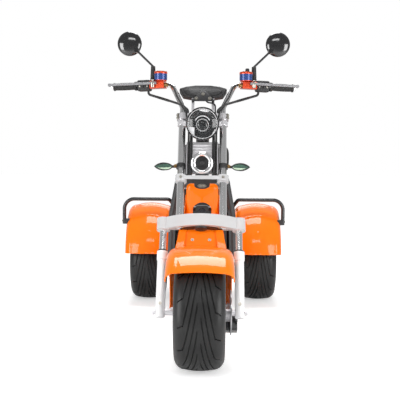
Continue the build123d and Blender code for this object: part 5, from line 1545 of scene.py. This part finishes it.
def add_motor_details():
    low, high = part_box("motor")
    centre = (low + high) / 2
    radius = (high.z - low.z) / 2
    fins = Shape()
    count = 9
    for i in range(count):
        x = low.x + 0.016 + (high.x - low.x - 0.032) * i / (count - 1)
        place = facing(Vector((x, centre.y, centre.z)), ACROSS)
        fins.lathe([
            (radius - 0.001, -0.0028), (radius + 0.0045, -0.0018), (radius + 0.0045, 0.0018),
            (radius - 0.001, 0.0028)], place, 56, closed=True)
    fins.piece("motor_fins", "alloy", "chassis")
    bolts = Shape()
    for side in SIDES:
        for spot in wheel_circle(centre + ACROSS * side * (high.x - 0.0002), 0.070, 6):
            bolts.bolt(spot, ACROSS * side, 0.0055, 0.005)
    bolts.piece("motor_bolts", "alloy", "chassis", material=ZINC)


HUB_FACE = 0.0453


def add_wheel_details():
    """Disc bolts and wheel nuts."""
    disc = Shape()
    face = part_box("front_disc")[1].x - 0.0003
    for spot in wheel_circle(Vector((face, FRONT_AXLE.y, FRONT_AXLE.z)), 0.033, 6, tau / 12):
        disc.bolt(spot, ACROSS, 0.004, 0.003)
    disc.piece("disc_bolts", "alloy", "front_wheel", material=ZINC)
    for side, node in ((-1, "rear_rim_right"), (1, "rear_rim_left"), (-1, "front_rim")):
        hub = middle(node.replace("rim", "tyre"))
        nuts = Shape()
        for spot in wheel_circle(hub + ACROSS * side * HUB_FACE, 0.040, 5, 0.3):
            nuts.bolt(spot, ACROSS * side, 0.0065, 0.006)
        nuts.piece(node + "_nuts", "alloy", node.replace("rim", "wheel"), material=ZINC)


def add_tail():
    low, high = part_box("tail_lamp")
    lens = Shape()
    place = facing(Vector((0, low.y, (low.z + high.z) / 2)), BACKWARD)
    half, tall, deep = (high.x - low.x) / 2, (high.z - low.z) / 2, high.y - low.y
    outline = []
    for cx, cz, start in ((1, 1, 0), (-1, 1, 90), (-1, -1, 180), (1, -1, 270)):
        corner_x, corner_z = cx * (half - 0.016), cz * (tall - 0.016)
        outline += [(corner_x + x, corner_z + z) for x, z in arc(0.0155, start, start + 90, 4)]
    lens.prism([(x * 0.97, z * 0.94) for x, z in outline], deep - 0.0005, place, 0.007, 4)
    lens.piece("tail_lamp_lens", "red_lens", "chassis", replaces=("tail_lamp",))
    frame_ring = Shape()
    frame_ring.prism(outline, 0.012, place @ shift(0, 0, 0.0003), 0.002)
    frame_ring.piece("tail_lamp_base", "black_plastic", "chassis")
    lights = Shape()
    for i in range(7):
        x = -0.042 + 0.014 * i
        lights.lathe([
            (0, 0), (0.0045, 0), (0.004, 0.0014), (0, 0.002)], place @ shift(x, 0, deep - 0.0008), 16)
    lights.piece("tail_lamp_leds", "red_lens", "chassis")

    plate_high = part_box("plate_holder")[1]
    mount = next(m for m in frame["record"]["mounts"] if m["name"] == "plate_bolts")
    centre = Vector(mount["pos_m"])
    plate = Shape()
    face = facing(Vector((0, plate_high.y + 0.0003, centre.z)), BACKWARD)
    plate.prism(oblong(plate_high.x - 0.006, 0.062), 0.0012, face, 0.0005)
    plate.piece("blank_plate", "black_plastic", "chassis", material=MARKS)
    bolts = Shape()
    spread = mount["dims"]["spacing_x_mm"] / 2000
    for side in SIDES:
        bolts.bolt(face @ Vector((side * spread, 0, 0.0012)), BACKWARD, 0.005, 0.0035)
    bolts.piece("plate_bolts_heads", "alloy", "chassis", material=ZINC)
    ends = Shape()
    b_low, b_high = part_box("rear_blinkers")
    centre = (b_low + b_high) / 2
    radius = (b_high.z - b_low.z) / 2
    for side in SIDES:
        ends.lathe([
            (radius + 0.0006, -0.003), (radius + 0.0012, -0.001), (radius + 0.0012, 0.006),
            (radius + 0.0006, 0.008)], facing(Vector((side * 0.0640, centre.y, centre.z)), ACROSS * side),
            32, closed=True)
        ends.lathe([(0, 0.0002), (0.0105, 0.0002), (0.008, 0.003), (0, 0.004)], facing(
            Vector((side * b_high.x, centre.y, centre.z)), ACROSS * side), 28)
    ends.piece("rear_blinker_trim", "black_plastic", "chassis")


def add_rail_bolts():
    low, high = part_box("grab_rails")
    bolts = Shape()
    for side in SIDES:
        spot = Vector((side * (high.x - 0.0006), middle("grab_rails").y - 0.016, low.z + 0.018))
        bolts.bolt(spot, ACROSS * side, 0.0052, 0.004)
    bolts.piece("rail_bolts", "alloy", "chassis", material=ZINC)


add_footboard()
add_panel_details()
add_shocks()
add_motor_details()
add_wheel_details()
add_tail()
add_rail_bolts()
